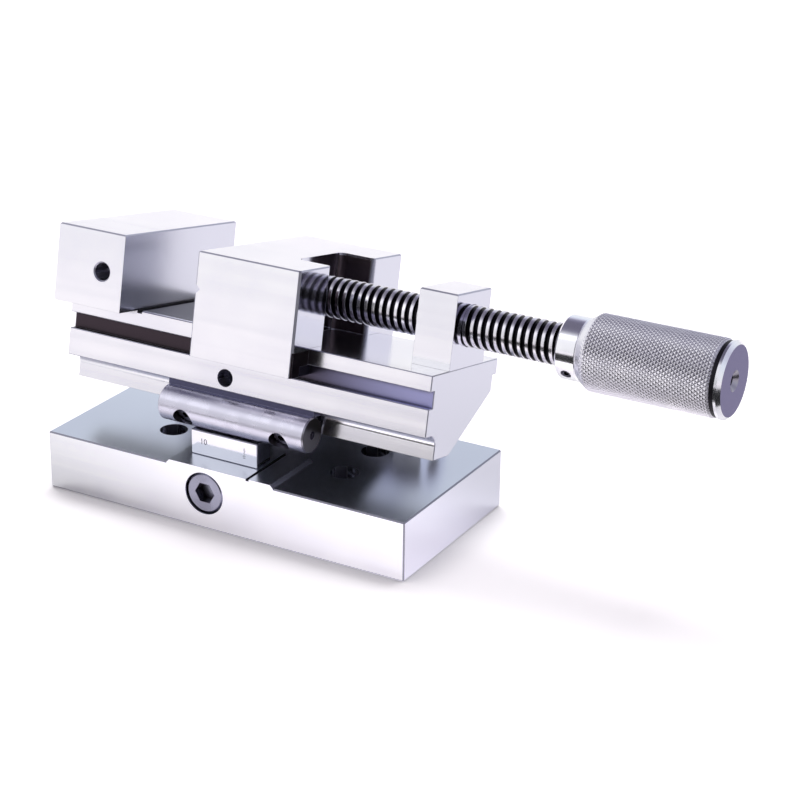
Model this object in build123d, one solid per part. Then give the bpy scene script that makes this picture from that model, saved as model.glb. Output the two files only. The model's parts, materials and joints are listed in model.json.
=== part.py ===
from build123d import *
import math
import os

os.makedirs("parts", exist_ok=True)

# Sine vise, millimetres. Frame: X along the base, Y from front to back, Z up.
# The origin is the middle of the base's underside. The vise is drawn level in
# its own frame (bed top at Z = 0, middle plane at Y = 0) and then tilted about
# the hinge roller until its front roller stands on the gauge block.

# Driving dimensions
BASE_L = 160.0                  # base length, also the vise body's length
BASE_D = 76.0                   # base depth, also the jaw width
BASE_H = 25.0                   # underside of the base to the top of its land
SINE_DISTANCE = 50.0            # between the axes of the two sine rollers
ROLLER_R = 7.0
GAUGE_H = 10.0                  # gauge block under the front roller
BED_W = 52.4                    # width of the vise body
AXIS_DROP = 32.3                # roller axes below the bed top
JAW_H = 30.0                    # jaws above the bed
OPENING = 33.3                  # gap between the jaws as drawn
SCREW_UP = 15.5                 # screw axis above the bed
SCREW_R = 7.9                   # crest radius of the lead screw

# Clearances and edges
FILM = 0.02                     # air between ground faces that rest on each other
SLIDE_GAP = 0.1                 # side clearance of the jaw on the bed
JOURNAL_FIT = 0.05              # radial running clearance of the hinge
SCREW_FIT = 0.08                # radial clearance of the screws that turn
HEAD_ROOM = 0.6                 # counterbores are this much wider than their screw heads
PAST = 1.0                      # cutters run this far past the faces they open
EDGE = 0.5                      # broken edges of the ground blocks
FINE_EDGE = 0.3

# Worked out from the driving dimensions
HALF_L = BASE_L / 2
HALF_D = BASE_D / 2
HALF_BED = BED_W / 2
HALF_SINE = SINE_DISTANCE / 2
HINGE_Z = BASE_H + ROLLER_R
TILT = math.degrees(math.asin((GAUGE_H + FILM) / SINE_DISTANCE))
FRONT_ROLLER_Y = HALF_SINE - SINE_DISTANCE * math.cos(math.radians(TILT))

# Base plate
LAND_RISE = 1.3                 # how far the land stands above the plate
LAND_HALF = 24.0
LAND_D = 28.0
PLATE_H = BASE_H - LAND_RISE
LAND_BACK = -HALF_D + LAND_D
RELIEF_X = 12.0                 # relief slit across the land
RELIEF_W = 1.3
RELIEF_DEPTH = 0.8
MOUNT_X = 39.0
MOUNT_Y = 11.5
MOUNT_R = 3.3
MOUNT_CBORE_R = 5.5
MOUNT_CBORE_H = 6.5

# Hinge brackets
BRACKET_IN = 45.0               # inner face, from the middle of the base
BRACKET_W = 12.0
BRACKET_R = 10.0
BRACKET_OUT = BRACKET_IN + BRACKET_W
JOURNAL_R = 5.0
BRACKET_WALL_MIDDLE = (JOURNAL_R + BRACKET_R) / 2
BRACKET_SCREW_R = 2.0
BRACKET_SCREW_SEAT = 10.0       # head seat above the underside
BRACKET_SCREW_GRIP = 6.0        # thread in the bracket
BRACKET_DOWEL_R = 1.5
BRACKET_DOWEL_IN = 6.0
BRACKET_DOWEL_UP = 4.5
BRACKET_DOWEL_SHIFT = 3.8       # dowels towards the middle from the screws

# Rollers and their screws
FRONT_ROLLER_HALF = 32.5
HINGE_ROLLER_HALF = BRACKET_IN - 0.5
CENTRE_R = 1.6                  # centre holes in the roller ends
CENTRE_DEPTH = 2.0
ROLLER_SCREW_X = 21.5
ROLLER_SCREW_ANGLE = 40.0       # below level, seen along the roller
ROLLER_SCREW_R = 2.0
ROLLER_SCREW_L = 15.0
ROLLER_CBORE_R = 4.2
ROLLER_CBORE_SEAT = 0.5         # head seat from the roller's axis

# Vise body, in the vise frame
STRIP_H = 6.1                   # bed strip above the side slots
SLOT_H = 6.3
SLOT_DEPTH = 2.8
FLANGE_H = 10.7
KEEL_HALF = HALF_SINE - ROLLER_R            # the keel's walls bear on the rollers
KEEL_H = 9.7
KEEL_FILLET = 4.4
SLOT_WALL = HALF_BED - SLOT_DEPTH
SLOT_BOTTOM = -STRIP_H - SLOT_H
FLANGE_BOTTOM = SLOT_BOTTOM - FLANGE_H
KEEL_BOTTOM = FLANGE_BOTTOM - KEEL_H
ROLLER_SEAT_Z = -AXIS_DROP + ROLLER_R       # flat above each roller
ROLLER_SEAT_IN = 0.8            # the seat stops this far behind the flange
LUG_HALF = 42.0                 # middle part that carries the hinge roller
BEVEL_FOOT_Y = -6.2             # foot of the bevel over the hinge brackets
FIXED_JAW_L = 30.7
FIXED_FACE = -HALF_L + FIXED_JAW_L
FOOT_GROOVE_W = 2.2             # relief groove in the bed at the fixed jaw
FOOT_GROOVE_DEPTH = 1.0
STOP_R = 3.4                    # tapped hole for a work stop, M8
STOP_MOUTH_R = 3.9
STOP_DEPTH = 16.0
STOP_IN = 9.6                   # behind the fixed jaw's face
STOP_UP = 14.4

# Lock: a curved strap on the vise that the base clamps
LOCK_X = -7.0
LOCK_DOWN = 10.6                # screw axis below the top of the land
LOCK_HEAD_R = 8.0
LOCK_HEAD_H = 7.0
LOCK_SHANK_R = 5.0
LOCK_SHANK_L = 10.5
PLUG_R = 4.0
STRAP_W = 14.0
STRAP_R = 31.5                  # outer radius about the hinge
STRAP_T = 5.0
STRAP_UP = 28.0                 # degrees above the hinge, inside the body
STRAP_DOWN = 84.0               # degrees below the hinge, inside the base
STRAP_ROOM = 0.5                # clearance round the strap in the base
PLUG_GAP = 0.3
STRAP_SCREW_R = 3.4
STRAP_SCREW_UP = -18.2          # cross hole in the flange
STRAP_SCREW_SINK = 7.2          # below the flange's front face
STRAP_SCREW_L = 12.0
DOG_R = 2.5
DOG_L = 4.0
LOCK_Z = BASE_H - LOCK_DOWN
LOCK_SEAT_Y = -HALF_D + LOCK_HEAD_H + EDGE
LOCK_END_Y = LOCK_SEAT_Y + LOCK_SHANK_L
DOG_START_Y = -HALF_BED + STRAP_SCREW_SINK + STRAP_SCREW_L
DOG_END_Y = DOG_START_Y + DOG_L

# Gauge block
GAUGE_X = -3.9
GAUGE_L = 30.0
GAUGE_D = 9.0

# Movable jaw, in the vise frame
JAW_L = 44.2
POCKET_L = 14.8
POCKET_HALF = 16.0
POCKET_FILLET = 3.0
POCKET_MOUTH_FILLET = 2.0
GROOVE_DEPTH = 1.7              # V groove across the jaw's face
GROOVE_UP = 15.6
JAW_CORNER = 0.8                # chamfer of the jaw's outer corners at the screw end
KEEPER_T = 3.85
KEEPER_GRIP = 5.8               # keeper width under the jaw, outside the bed
KEEPER_GAP = 0.05               # under the bed strip
KEEPER_END_GAP = 0.3
KEEPER_SCREW_R = 1.5
KEEPER_SCREW_L = 9.0
KEEPER_HEAD_R = 2.7
KEEPER_HEAD_H = 1.5
KEEPER_SCREW_STEP = 16.0
JAW_FACE = FIXED_FACE + OPENING
JAW_END = JAW_FACE + JAW_L
POCKET_X = JAW_END - POCKET_L
KEEPER_TOP = -STRIP_H - KEEPER_GAP
SKIRT_BOTTOM = KEEPER_TOP - KEEPER_T
KEEPER_OUT = HALF_BED + KEEPER_GRIP
KEEPER_SCREW_Y = HALF_BED + KEEPER_GRIP / 2

# Post, in the vise frame
POST_L = 15.7
POST_HALF = 13.4
POST_H = 28.4
POST_X = HALF_L - POST_L
POST_MIDDLE = HALF_L - POST_L / 2
POST_SCREW_R = 2.5
POST_SCREW_Y = 9.6
POST_SCREW_SEAT = -13.0
POST_SCREW_GRIP = 4.0
POST_DOWEL_R = 2.0
POST_DOWEL_STEP = 4.0
POST_DOWEL_IN = 8.0
POST_DOWEL_UP = 5.0

# Screw, collar and handle, in the vise frame
THRUST_R = 5.0                  # plain end of the screw inside the jaw
THRUST_L = 14.0
BUTTON_L = 3.0
NECK_R = 3.6
NECK_BACK = 7.4                 # retaining pins behind the pocket's wall
RETAINER_R = 1.5
RETAINER_FIT = 0.2
RETAINER_TOP = 22.0
THREAD_L = 105.6                # pocket wall to collar
THREAD_LEAD_IN = 1.0
COLLAR_L = 8.6
COLLAR_R = 11.8
COLLAR_EDGE = 0.8
COLLAR_SCREW_R = 2.0
COLLAR_SCREW_SINK = 2.4         # its socket is this far under the collar's surface
COLLAR_SCREW_TURN = 136.0       # degrees from the top, towards the front
HANDLE_L = 53.0
HANDLE_R = 14.3
NOSE_L = 3.6                    # cone at the grip's inner end
NOSE_RISE = 2.4
GRIP_END_EDGE = 0.7             # chamfer where the knurl ends
END_GROOVE_W = 1.8              # plain groove between the grip and its cap
END_GROOVE_DEPTH = 0.6
SPIGOT_R = 6.0                  # plain end of the screw inside the handle
SPIGOT_L = 30.0
HANDLE_SCREW_R = 2.5
HANDLE_SCREW_L = 20.0
HANDLE_WEB = 5.0                # wall that the handle screw pulls against
HANDLE_BORE_R = 6.5
CAP_L = 2.3
CAP_STEP = 0.1                  # the cap is this much smaller than the grip
CAP_EDGE = 1.3
CAP_PLUG_L = 5.0
CAP_HOLE_R = 2.3
CAP_SINK = 1.6
COLLAR_X = POCKET_X + THREAD_L
HANDLE_X = COLLAR_X + COLLAR_L
HANDLE_END = HANDLE_X + HANDLE_L
GRIP_END = HANDLE_END - END_GROOVE_W
WEB_END = HANDLE_X + SPIGOT_L + HANDLE_WEB
NECK_X = POCKET_X - NECK_BACK
RETAINER_Y = NECK_R + RETAINER_FIT + RETAINER_R


# Shape helpers

def block(x0, x1, y0, y1, z0, z1):
    size = Box(x1 - x0, y1 - y0, z1 - z0)
    return Pos((x0 + x1) / 2, (y0 + y1) / 2, (z0 + z1) / 2) * size


def rod_x(radius, x0, x1, y=0.0, z=0.0):
    return Pos((x0 + x1) / 2, y, z) * Rot(Y=90) * Cylinder(radius, x1 - x0)


def rod_y(radius, y0, y1, x=0.0, z=0.0):
    return Pos(x, (y0 + y1) / 2, z) * Rot(X=90) * Cylinder(radius, y1 - y0)


def rod_z(radius, z0, z1, x=0.0, y=0.0):
    return Pos(x, y, (z0 + z1) / 2) * Cylinder(radius, z1 - z0)


def bar_x(outline, x0, x1):
    """A bar along X whose section is bounded by the given lines in (y, z)."""
    face = Plane.YZ * make_face(outline)
    return Pos(x0, 0, 0) * extrude(face, x1 - x0)


def ring_sector(outer, thickness, from_deg, to_deg, x0, x1):
    """A curved bar about the X axis, angles measured below the front."""
    def at(radius, degrees):
        turn = math.radians(degrees)
        return (-radius * math.cos(turn), -radius * math.sin(turn))
    inner = outer - thickness
    middle = (from_deg + to_deg) / 2
    outline = Curve() + [
        ThreePointArc(at(outer, from_deg), at(outer, middle), at(outer, to_deg)),
        Line(at(outer, to_deg), at(inner, to_deg)),
        ThreePointArc(at(inner, to_deg), at(inner, middle), at(inner, from_deg)),
        Line(at(inner, from_deg), at(outer, from_deg)),
    ]
    return bar_x(outline, x0, x1)


def top_edges(shape):
    return shape.edges().group_by(Axis.Z)[-1]


def round_edges(shape):
    return shape.edges().filter_by(GeomType.CIRCLE)


def hex_key(across, depth):
    """A hexagonal recess, cut downwards from Z = 0."""
    return Pos(0, 0, -depth) * extrude(RegularPolygon(across / 2, 6, major_radius=False), depth)


def head_radius(shank_r):
    return 1.7 * shank_r


def socket_screw(shank_r, length, head_r=None, head_h=None):
    """A socket head screw, its head's seat at Z = 0 and its shank below."""
    head_r = head_r or head_radius(shank_r)
    head_h = head_h or 2 * shank_r
    head = rod_z(head_r, 0, head_h)
    head = chamfer(top_edges(head), 0.08 * head_r)
    head -= Pos(0, 0, head_h) * hex_key(1.5 * shank_r, 0.55 * head_h)
    return head + rod_z(shank_r, -length, 0)


def set_screw(radius, length):
    """A headless screw, its socket at Z = 0 and its point below."""
    return rod_z(radius, -length, 0) - hex_key(radius, 0.4 * length)


def tilted(shape):
    """From the vise frame to the base frame, tilted onto the gauge block."""
    level = Pos(0, -HALF_SINE, AXIS_DROP) * shape
    return Pos(0, HALF_SINE, HINGE_Z) * Rot(X=-TILT) * level


# Base and what is fixed to it

def base_plate():
    """The ground base: a land for the gauge blocks, the strap's slot and all its holes."""
    plate = block(-HALF_L, HALF_L, -HALF_D, HALF_D, 0, PLATE_H)
    plate = chamfer(plate.edges(), EDGE)
    land = block(-LAND_HALF, LAND_HALF, -HALF_D, LAND_BACK, PLATE_H - PAST, BASE_H)
    plate += chamfer(top_edges(land).filter_by(Axis.Y), LAND_RISE)
    plate -= block(RELIEF_X, RELIEF_X + RELIEF_W, -HALF_D, LAND_BACK,
                   BASE_H - RELIEF_DEPTH, BASE_H + PAST)
    for x in (-MOUNT_X, MOUNT_X):
        for y in (-MOUNT_Y, MOUNT_Y):
            plate -= rod_z(MOUNT_R, -PAST, BASE_H, x, y)
            plate -= rod_z(MOUNT_CBORE_R, PLATE_H - MOUNT_CBORE_H, BASE_H, x, y)
    plate -= base_strap_slot()
    plate -= rod_y(LOCK_HEAD_R + EDGE, -HALF_D - PAST, LOCK_SEAT_Y, LOCK_X, LOCK_Z)
    plate -= rod_y(LOCK_SHANK_R + SCREW_FIT, LOCK_SEAT_Y, LOCK_END_Y, LOCK_X, LOCK_Z)
    plate -= rod_y(PLUG_R, LOCK_END_Y, HALF_SINE - STRAP_R, LOCK_X, LOCK_Z)
    head_r = head_radius(BRACKET_SCREW_R) + HEAD_ROOM
    for x, y in bracket_screw_places():
        plate -= rod_z(BRACKET_SCREW_R, -PAST, BASE_H, x, y)
        plate -= rod_z(head_r, -PAST, BRACKET_SCREW_SEAT, x, y)
    for x, y in bracket_dowel_places():
        plate -= rod_z(BRACKET_DOWEL_R, PLATE_H - BRACKET_DOWEL_IN, BASE_H, x, y)
    return plate


def base_strap_slot():
    """Slot right through the base, long enough for the strap at every tilt."""
    side = STRAP_W / 2 + STRAP_ROOM
    front = HALF_SINE - STRAP_R - 2 * STRAP_ROOM
    strap_end = (STRAP_R - STRAP_T) * math.cos(math.radians(STRAP_DOWN))
    back = HALF_SINE - strap_end + 3 * STRAP_ROOM
    return block(LOCK_X - side, LOCK_X + side, front, back, -PAST, BASE_H + PAST)


def bracket_screw_places():
    middle = (BRACKET_IN + BRACKET_OUT) / 2
    return [(side * middle, HALF_SINE + step)
            for side in (-1, 1) for step in (-BRACKET_WALL_MIDDLE, BRACKET_WALL_MIDDLE)]


def bracket_dowel_places():
    return [(x - math.copysign(BRACKET_DOWEL_SHIFT, x), y) for x, y in bracket_screw_places()]


def hinge_bracket(side):
    """An upright with a round top that carries one journal of the hinge roller."""
    x0, x1 = sorted((side * BRACKET_IN, side * BRACKET_OUT))
    front, back = HALF_SINE - BRACKET_R, HALF_SINE + BRACKET_R
    outline = Curve() + [
        Line((front, HINGE_Z), (front, PLATE_H)),
        Line((front, PLATE_H), (back, PLATE_H)),
        Line((back, PLATE_H), (back, HINGE_Z)),
        ThreePointArc((back, HINGE_Z), (HALF_SINE, HINGE_Z + BRACKET_R), (front, HINGE_Z)),
    ]
    bracket = bar_x(outline, x0, x1)
    bracket -= rod_x(JOURNAL_R + JOURNAL_FIT, x0 - PAST, x1 + PAST, HALF_SINE, HINGE_Z)
    for x, y in bracket_screw_places():
        bracket -= rod_z(BRACKET_SCREW_R, PLATE_H - PAST, PLATE_H + BRACKET_SCREW_GRIP, x, y)
    for x, y in bracket_dowel_places():
        bracket -= rod_z(BRACKET_DOWEL_R, PLATE_H - PAST, PLATE_H + BRACKET_DOWEL_UP, x, y)
    return bracket


def bracket_screws():
    length = PLATE_H + BRACKET_SCREW_GRIP - BRACKET_SCREW_SEAT
    screw = Rot(X=180) * socket_screw(BRACKET_SCREW_R, length)
    return [Pos(x, y, BRACKET_SCREW_SEAT) * screw for x, y in bracket_screw_places()]


def bracket_dowels():
    return [rod_z(BRACKET_DOWEL_R, PLATE_H - BRACKET_DOWEL_IN, PLATE_H + BRACKET_DOWEL_UP, x, y)
            for x, y in bracket_dowel_places()]


def lock_screw():
    screw = socket_screw(LOCK_SHANK_R, LOCK_SHANK_L - FILM, LOCK_HEAD_R, LOCK_HEAD_H)
    return Pos(LOCK_X, LOCK_SEAT_Y, LOCK_Z) * Rot(X=90) * screw


def lock_plug():
    """Round plug, hollowed to the strap's curve, that the lock screw drives back."""
    plug = rod_y(PLUG_R, LOCK_END_Y, 0, LOCK_X, LOCK_Z)
    x0, x1 = LOCK_X - STRAP_W, LOCK_X + STRAP_W
    return plug - rod_x(STRAP_R + PLUG_GAP, x0, x1, HALF_SINE, HINGE_Z)


def gauge_block():
    x0 = GAUGE_X - GAUGE_L / 2
    y0 = FRONT_ROLLER_Y - GAUGE_D / 2
    piece = block(x0, x0 + GAUGE_L, y0, y0 + GAUGE_D, BASE_H, BASE_H + GAUGE_H)
    return chamfer(piece.edges(), FINE_EDGE)


# Vise body and what is fixed to it

def body_outline():
    """Section of the vise body: bed strip, side slots, flanges and keel."""
    front = [
        (-HALF_BED, 0),
        (-HALF_BED, -STRIP_H),
        (-SLOT_WALL, -STRIP_H),
        (-SLOT_WALL, SLOT_BOTTOM),
        (-HALF_BED, SLOT_BOTTOM),
        (-HALF_BED, FLANGE_BOTTOM),
        (-KEEL_HALF, FLANGE_BOTTOM),
        (-KEEL_HALF, KEEL_BOTTOM),
    ]
    back = [(-y, z) for y, z in reversed(front)]
    return Polyline(*front, *back, close=True)


def vise_body():
    """One piece: the slotted bed on its keel, with the fixed jaw at the left end."""
    body = bar_x(body_outline(), -HALF_L, HALF_L)
    under_flange = body.edges().filter_by(Axis.X).filter_by(
        lambda e: abs(abs(e.center().Y) - KEEL_HALF) < 0.01
        and abs(e.center().Z - FLANGE_BOTTOM) < 0.01)
    body = fillet(under_flange, KEEL_FILLET)
    long_corners = body.edges().filter_by(Axis.X).filter_by(
        lambda e: abs(abs(e.center().Y) - HALF_BED) < 0.01)
    body = chamfer(long_corners, FINE_EDGE)
    body -= end_bevel(-HALF_L - PAST, -LUG_HALF)
    body -= end_bevel(LUG_HALF, HALF_L + PAST)
    body = chamfer(body.faces().sort_by(Axis.X)[-1].edges(), FINE_EDGE)
    body += roller_seat(-1, FRONT_ROLLER_HALF)
    body += roller_seat(1, LUG_HALF)
    body += fixed_jaw()
    body -= block(FIXED_FACE, FIXED_FACE + FOOT_GROOVE_W, -HALF_BED - PAST, HALF_BED + PAST,
                  -FOOT_GROOVE_DEPTH, PAST)
    body -= rod_y(STOP_R, -HALF_D - PAST, -HALF_D + STOP_DEPTH, FIXED_FACE - STOP_IN, STOP_UP)
    body -= stop_mouth()
    body -= body_strap_slot()
    body -= rod_y(STRAP_SCREW_R, -HALF_BED - PAST, DOG_START_Y, LOCK_X, STRAP_SCREW_UP)
    body -= rod_y(DOG_R, DOG_START_Y - PAST, DOG_END_Y, LOCK_X, STRAP_SCREW_UP)
    for side in (-1, 1):
        for x in (-ROLLER_SCREW_X, ROLLER_SCREW_X):
            body -= roller_screw_place(side, x) * rod_z(ROLLER_SCREW_R, -ROLLER_SCREW_L, 0)
    head_r = head_radius(POST_SCREW_R) + HEAD_ROOM
    for x, y in post_screw_places():
        body -= rod_z(POST_SCREW_R, POST_SCREW_SEAT - PAST, PAST, x, y)
        body -= rod_z(head_r, KEEL_BOTTOM - PAST, POST_SCREW_SEAT, x, y)
    for x in post_dowel_places():
        body -= rod_z(POST_DOWEL_R, -POST_DOWEL_IN, PAST, x)
    return body


def end_bevel(x0, x1):
    """Cuts the lower rear corner away, so that the hinge brackets fit under."""
    below = KEEL_BOTTOM - PAST
    behind = HALF_BED + PAST
    outline = Polyline(
        (BEVEL_FOOT_Y, KEEL_BOTTOM),
        (SLOT_WALL, SLOT_BOTTOM),
        (behind, SLOT_BOTTOM),
        (behind, below),
        (BEVEL_FOOT_Y, below),
        close=True)
    return bar_x(outline, x0, x1)


def roller_seat(side, half_length):
    """The step under the flange that a sine roller is pulled up against."""
    y0, y1 = sorted((side * (HALF_BED - ROLLER_SEAT_IN), side * (KEEL_HALF - EDGE)))
    return block(-half_length, half_length, y0, y1, ROLLER_SEAT_Z, FLANGE_BOTTOM + EDGE)


def fixed_jaw():
    jaw = block(-HALF_L, FIXED_FACE, -HALF_D, HALF_D, 0, JAW_H)
    foot = block(-HALF_L, FIXED_FACE, -HALF_BED, HALF_BED, -2 * FINE_EDGE, 0)
    return chamfer(top_edges(jaw), EDGE) + foot


def stop_mouth():
    """Countersink at the mouth of the work stop's tapped hole."""
    depth = STOP_MOUTH_R - STOP_R
    cone = Cone(STOP_R, STOP_MOUTH_R, depth)
    return Pos(FIXED_FACE - STOP_IN, -HALF_D + depth / 2, STOP_UP) * Rot(X=90) * cone


def body_strap_slot():
    """Slot in the keel that holds the upper end of the strap."""
    rise = STRAP_R * math.sin(math.radians(STRAP_UP))
    reach = (STRAP_R - STRAP_T) * math.cos(math.radians(STRAP_UP))
    return block(LOCK_X - STRAP_W / 2, LOCK_X + STRAP_W / 2, HALF_SINE - STRAP_R,
                 HALF_SINE - reach + EDGE, KEEL_BOTTOM - PAST, -AXIS_DROP + rise)


def post_screw_places():
    return [(POST_MIDDLE, -POST_SCREW_Y), (POST_MIDDLE, POST_SCREW_Y)]


def post_dowel_places():
    return [POST_MIDDLE - POST_DOWEL_STEP, POST_MIDDLE + POST_DOWEL_STEP]


def roller_screw_place(side, x):
    """Puts Z along a roller screw, outwards, with the origin on the roller's axis."""
    turn = side * (90 + ROLLER_SCREW_ANGLE)
    return Pos(x, side * HALF_SINE, -AXIS_DROP) * Rot(X=-turn)


def sine_roller(side, half_length):
    """A ground roller, centred at both ends and counterbored for two screws."""
    roller = rod_x(ROLLER_R, -half_length, half_length)
    end = half_length
    if side > 0:
        roller += rod_x(JOURNAL_R, -BRACKET_OUT, BRACKET_OUT)
        end = BRACKET_OUT
    roller = chamfer(round_edges(roller), EDGE)
    roller -= rod_x(CENTRE_R, -end, -end + CENTRE_DEPTH)
    roller -= rod_x(CENTRE_R, end - CENTRE_DEPTH, end)
    roller = Pos(0, side * HALF_SINE, -AXIS_DROP) * roller
    for x in (-ROLLER_SCREW_X, ROLLER_SCREW_X):
        place = roller_screw_place(side, x)
        roller -= place * rod_z(ROLLER_CBORE_R, ROLLER_CBORE_SEAT, ROLLER_R + PAST)
        roller -= place * rod_z(ROLLER_SCREW_R, -ROLLER_R - PAST, ROLLER_CBORE_SEAT + PAST)
    return roller


def roller_screws(side):
    length = ROLLER_SCREW_L + ROLLER_CBORE_SEAT
    screw = Pos(0, 0, ROLLER_CBORE_SEAT) * socket_screw(ROLLER_SCREW_R, length)
    return [roller_screw_place(side, x) * screw for x in (-ROLLER_SCREW_X, ROLLER_SCREW_X)]


def lock_strap():
    """The curved strap: upper end pinned in the keel, lower end inside the base."""
    x0, x1 = LOCK_X - STRAP_W / 2, LOCK_X + STRAP_W / 2
    strap = ring_sector(STRAP_R, STRAP_T, -STRAP_UP, STRAP_DOWN, x0, x1)
    strap = Pos(0, HALF_SINE, -AXIS_DROP) * strap
    return strap - rod_y(DOG_R, DOG_START_Y - PAST, DOG_END_Y, LOCK_X, STRAP_SCREW_UP)


def strap_screw():
    """Dog-point set screw, sunk in the flange, that pins the strap."""
    screw = set_screw(STRAP_SCREW_R, STRAP_SCREW_L)
    screw += rod_z(DOG_R, -STRAP_SCREW_L - DOG_L, -STRAP_SCREW_L)
    return Pos(LOCK_X, -HALF_BED + STRAP_SCREW_SINK, STRAP_SCREW_UP) * Rot(X=90) * screw


def nut_post():
    """The post that the lead screw is threaded through."""
    post = block(POST_X, HALF_L, -POST_HALF, POST_HALF, 0, POST_H)
    post = chamfer(top_edges(post), EDGE)
    post -= rod_x(SCREW_R + SCREW_FIT, POST_X - PAST, HALF_L + PAST, 0, SCREW_UP)
    for x, y in post_screw_places():
        post -= rod_z(POST_SCREW_R, -PAST, POST_SCREW_GRIP, x, y)
    for x in post_dowel_places():
        post -= rod_z(POST_DOWEL_R, -PAST, POST_DOWEL_UP, x)
    return post


def post_screws():
    screw = Rot(X=180) * socket_screw(POST_SCREW_R, POST_SCREW_GRIP - POST_SCREW_SEAT)
    return [Pos(x, y, POST_SCREW_SEAT) * screw for x, y in post_screw_places()]


def post_dowels():
    return [rod_z(POST_DOWEL_R, -POST_DOWEL_IN, POST_DOWEL_UP, x) for x in post_dowel_places()]


# Movable jaw and what is fixed to it

def movable_jaw():
    """The saddle-shaped jaw, with its pocket for the post and its V groove."""
    inner = HALF_BED + SLIDE_GAP
    jaw = block(JAW_FACE, JAW_END, -HALF_D, HALF_D, SKIRT_BOTTOM, JAW_H)
    jaw = chamfer(jaw.edges().filter_by(Axis.Z).group_by(Axis.X)[-1], JAW_CORNER)
    jaw = chamfer(top_edges(jaw), EDGE)
    jaw -= block(JAW_FACE - PAST, JAW_END + PAST, -inner, inner, SKIRT_BOTTOM - PAST, FILM)
    pocket = block(POCKET_X, JAW_END + POCKET_L, -POCKET_HALF, POCKET_HALF, -PAST, JAW_H + PAST)
    jaw -= fillet(pocket.edges().filter_by(Axis.Z).group_by(Axis.X)[0], POCKET_FILLET)
    mouth = jaw.edges().filter_by(Axis.Z).filter_by(
        lambda e: abs(e.center().X - JAW_END) < 0.01
        and abs(abs(e.center().Y) - POCKET_HALF) < 0.01)
    jaw = fillet(mouth, POCKET_MOUTH_FILLET)
    groove = Polyline((0, -GROOVE_DEPTH), (GROOVE_DEPTH, 0), (0, GROOVE_DEPTH), close=True)
    cutter = extrude(Plane.XZ * make_face(groove), BASE_D + 2 * PAST)
    jaw -= Pos(JAW_FACE, HALF_D + PAST, GROOVE_UP) * cutter
    jaw -= rod_x(THRUST_R + SCREW_FIT, POCKET_X - THRUST_L, POCKET_X + PAST, 0, SCREW_UP)
    for side in (-1, 1):
        y0, y1 = sorted((side * (inner - PAST), side * KEEPER_OUT))
        jaw -= block(JAW_FACE - PAST, JAW_END + PAST, y0, y1, SKIRT_BOTTOM - PAST, KEEPER_TOP)
        for x, y in keeper_screw_places(side):
            jaw -= rod_z(KEEPER_SCREW_R, SKIRT_BOTTOM, SKIRT_BOTTOM + KEEPER_SCREW_L, x, y)
        jaw -= rod_z(RETAINER_R, -PAST, RETAINER_TOP, NECK_X, side * RETAINER_Y)
    return jaw


def keeper_screw_places(side):
    middle = (JAW_FACE + JAW_END) / 2
    steps = (-KEEPER_SCREW_STEP, 0.0, KEEPER_SCREW_STEP)
    return [(middle + step, side * KEEPER_SCREW_Y) for step in steps]


def keeper_plate(side):
    """Strip under the jaw that reaches into the body's side slot."""
    y0, y1 = sorted((side * (SLOT_WALL + KEEPER_END_GAP), side * KEEPER_OUT))
    plate = block(JAW_FACE + KEEPER_END_GAP, JAW_END - KEEPER_END_GAP, y0, y1,
                  SKIRT_BOTTOM, KEEPER_TOP)
    for x, y in keeper_screw_places(side):
        plate -= Pos(x, y, SKIRT_BOTTOM) * keeper_screw()
    return plate


def keeper_screw():
    """A flat head screw with its head's face at Z = 0 and its shank above."""
    head = Pos(0, 0, KEEPER_HEAD_H / 2) * Cone(KEEPER_HEAD_R, KEEPER_SCREW_R, KEEPER_HEAD_H)
    return head + rod_z(KEEPER_SCREW_R, 0, KEEPER_SCREW_L)


def keeper_screws():
    places = keeper_screw_places(-1) + keeper_screw_places(1)
    return [Pos(x, y, SKIRT_BOTTOM) * keeper_screw() for x, y in places]


def retaining_pins():
    """Two pins through the screw's neck that draw the jaw back with it."""
    return [rod_z(RETAINER_R, FILM + FINE_EDGE, RETAINER_TOP, NECK_X, side * RETAINER_Y)
            for side in (-1, 1)]


def thrust_button():
    """Hard disc at the bottom of the jaw's bore that the screw's end pushes."""
    x0 = POCKET_X - THRUST_L
    return rod_x(THRUST_R + SCREW_FIT, x0, x0 + BUTTON_L, 0, SCREW_UP)


# Screw, collar and handle, turning together

def lead_screw():
    """Plain end with a neck, long threaded part and a spigot for the handle."""
    start = POCKET_X - THRUST_L + BUTTON_L + FILM
    neck_half = RETAINER_R + RETAINER_FIT
    screw = rod_x(THRUST_R, start, POCKET_X + PAST)
    neck = rod_x(SCREW_R, NECK_X - neck_half, NECK_X + neck_half)
    screw -= neck - rod_x(NECK_R, NECK_X - neck_half, NECK_X + neck_half)
    thread = rod_x(SCREW_R, POCKET_X + PAST, COLLAR_X)
    screw += chamfer(round_edges(thread), THREAD_LEAD_IN)
    screw += rod_x(SPIGOT_R, COLLAR_X - PAST, HANDLE_X + SPIGOT_L)
    screw -= rod_x(HANDLE_SCREW_R, WEB_END - HANDLE_SCREW_L, HANDLE_X + SPIGOT_L)
    return Pos(0, 0, SCREW_UP) * screw


def collar():
    ring = rod_x(COLLAR_R, COLLAR_X, HANDLE_X)
    ring = chamfer(round_edges(ring), COLLAR_EDGE)
    ring -= rod_x(SPIGOT_R, COLLAR_X - PAST, HANDLE_X + PAST)
    ring -= collar_place() * rod_z(COLLAR_SCREW_R, SPIGOT_R, COLLAR_R + PAST)
    return Pos(0, 0, SCREW_UP) * ring


def collar_place():
    """Puts Z along the collar's set screw, outwards from the axis."""
    return Pos(COLLAR_X + COLLAR_L / 2, 0, 0) * Rot(X=COLLAR_SCREW_TURN)


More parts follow.
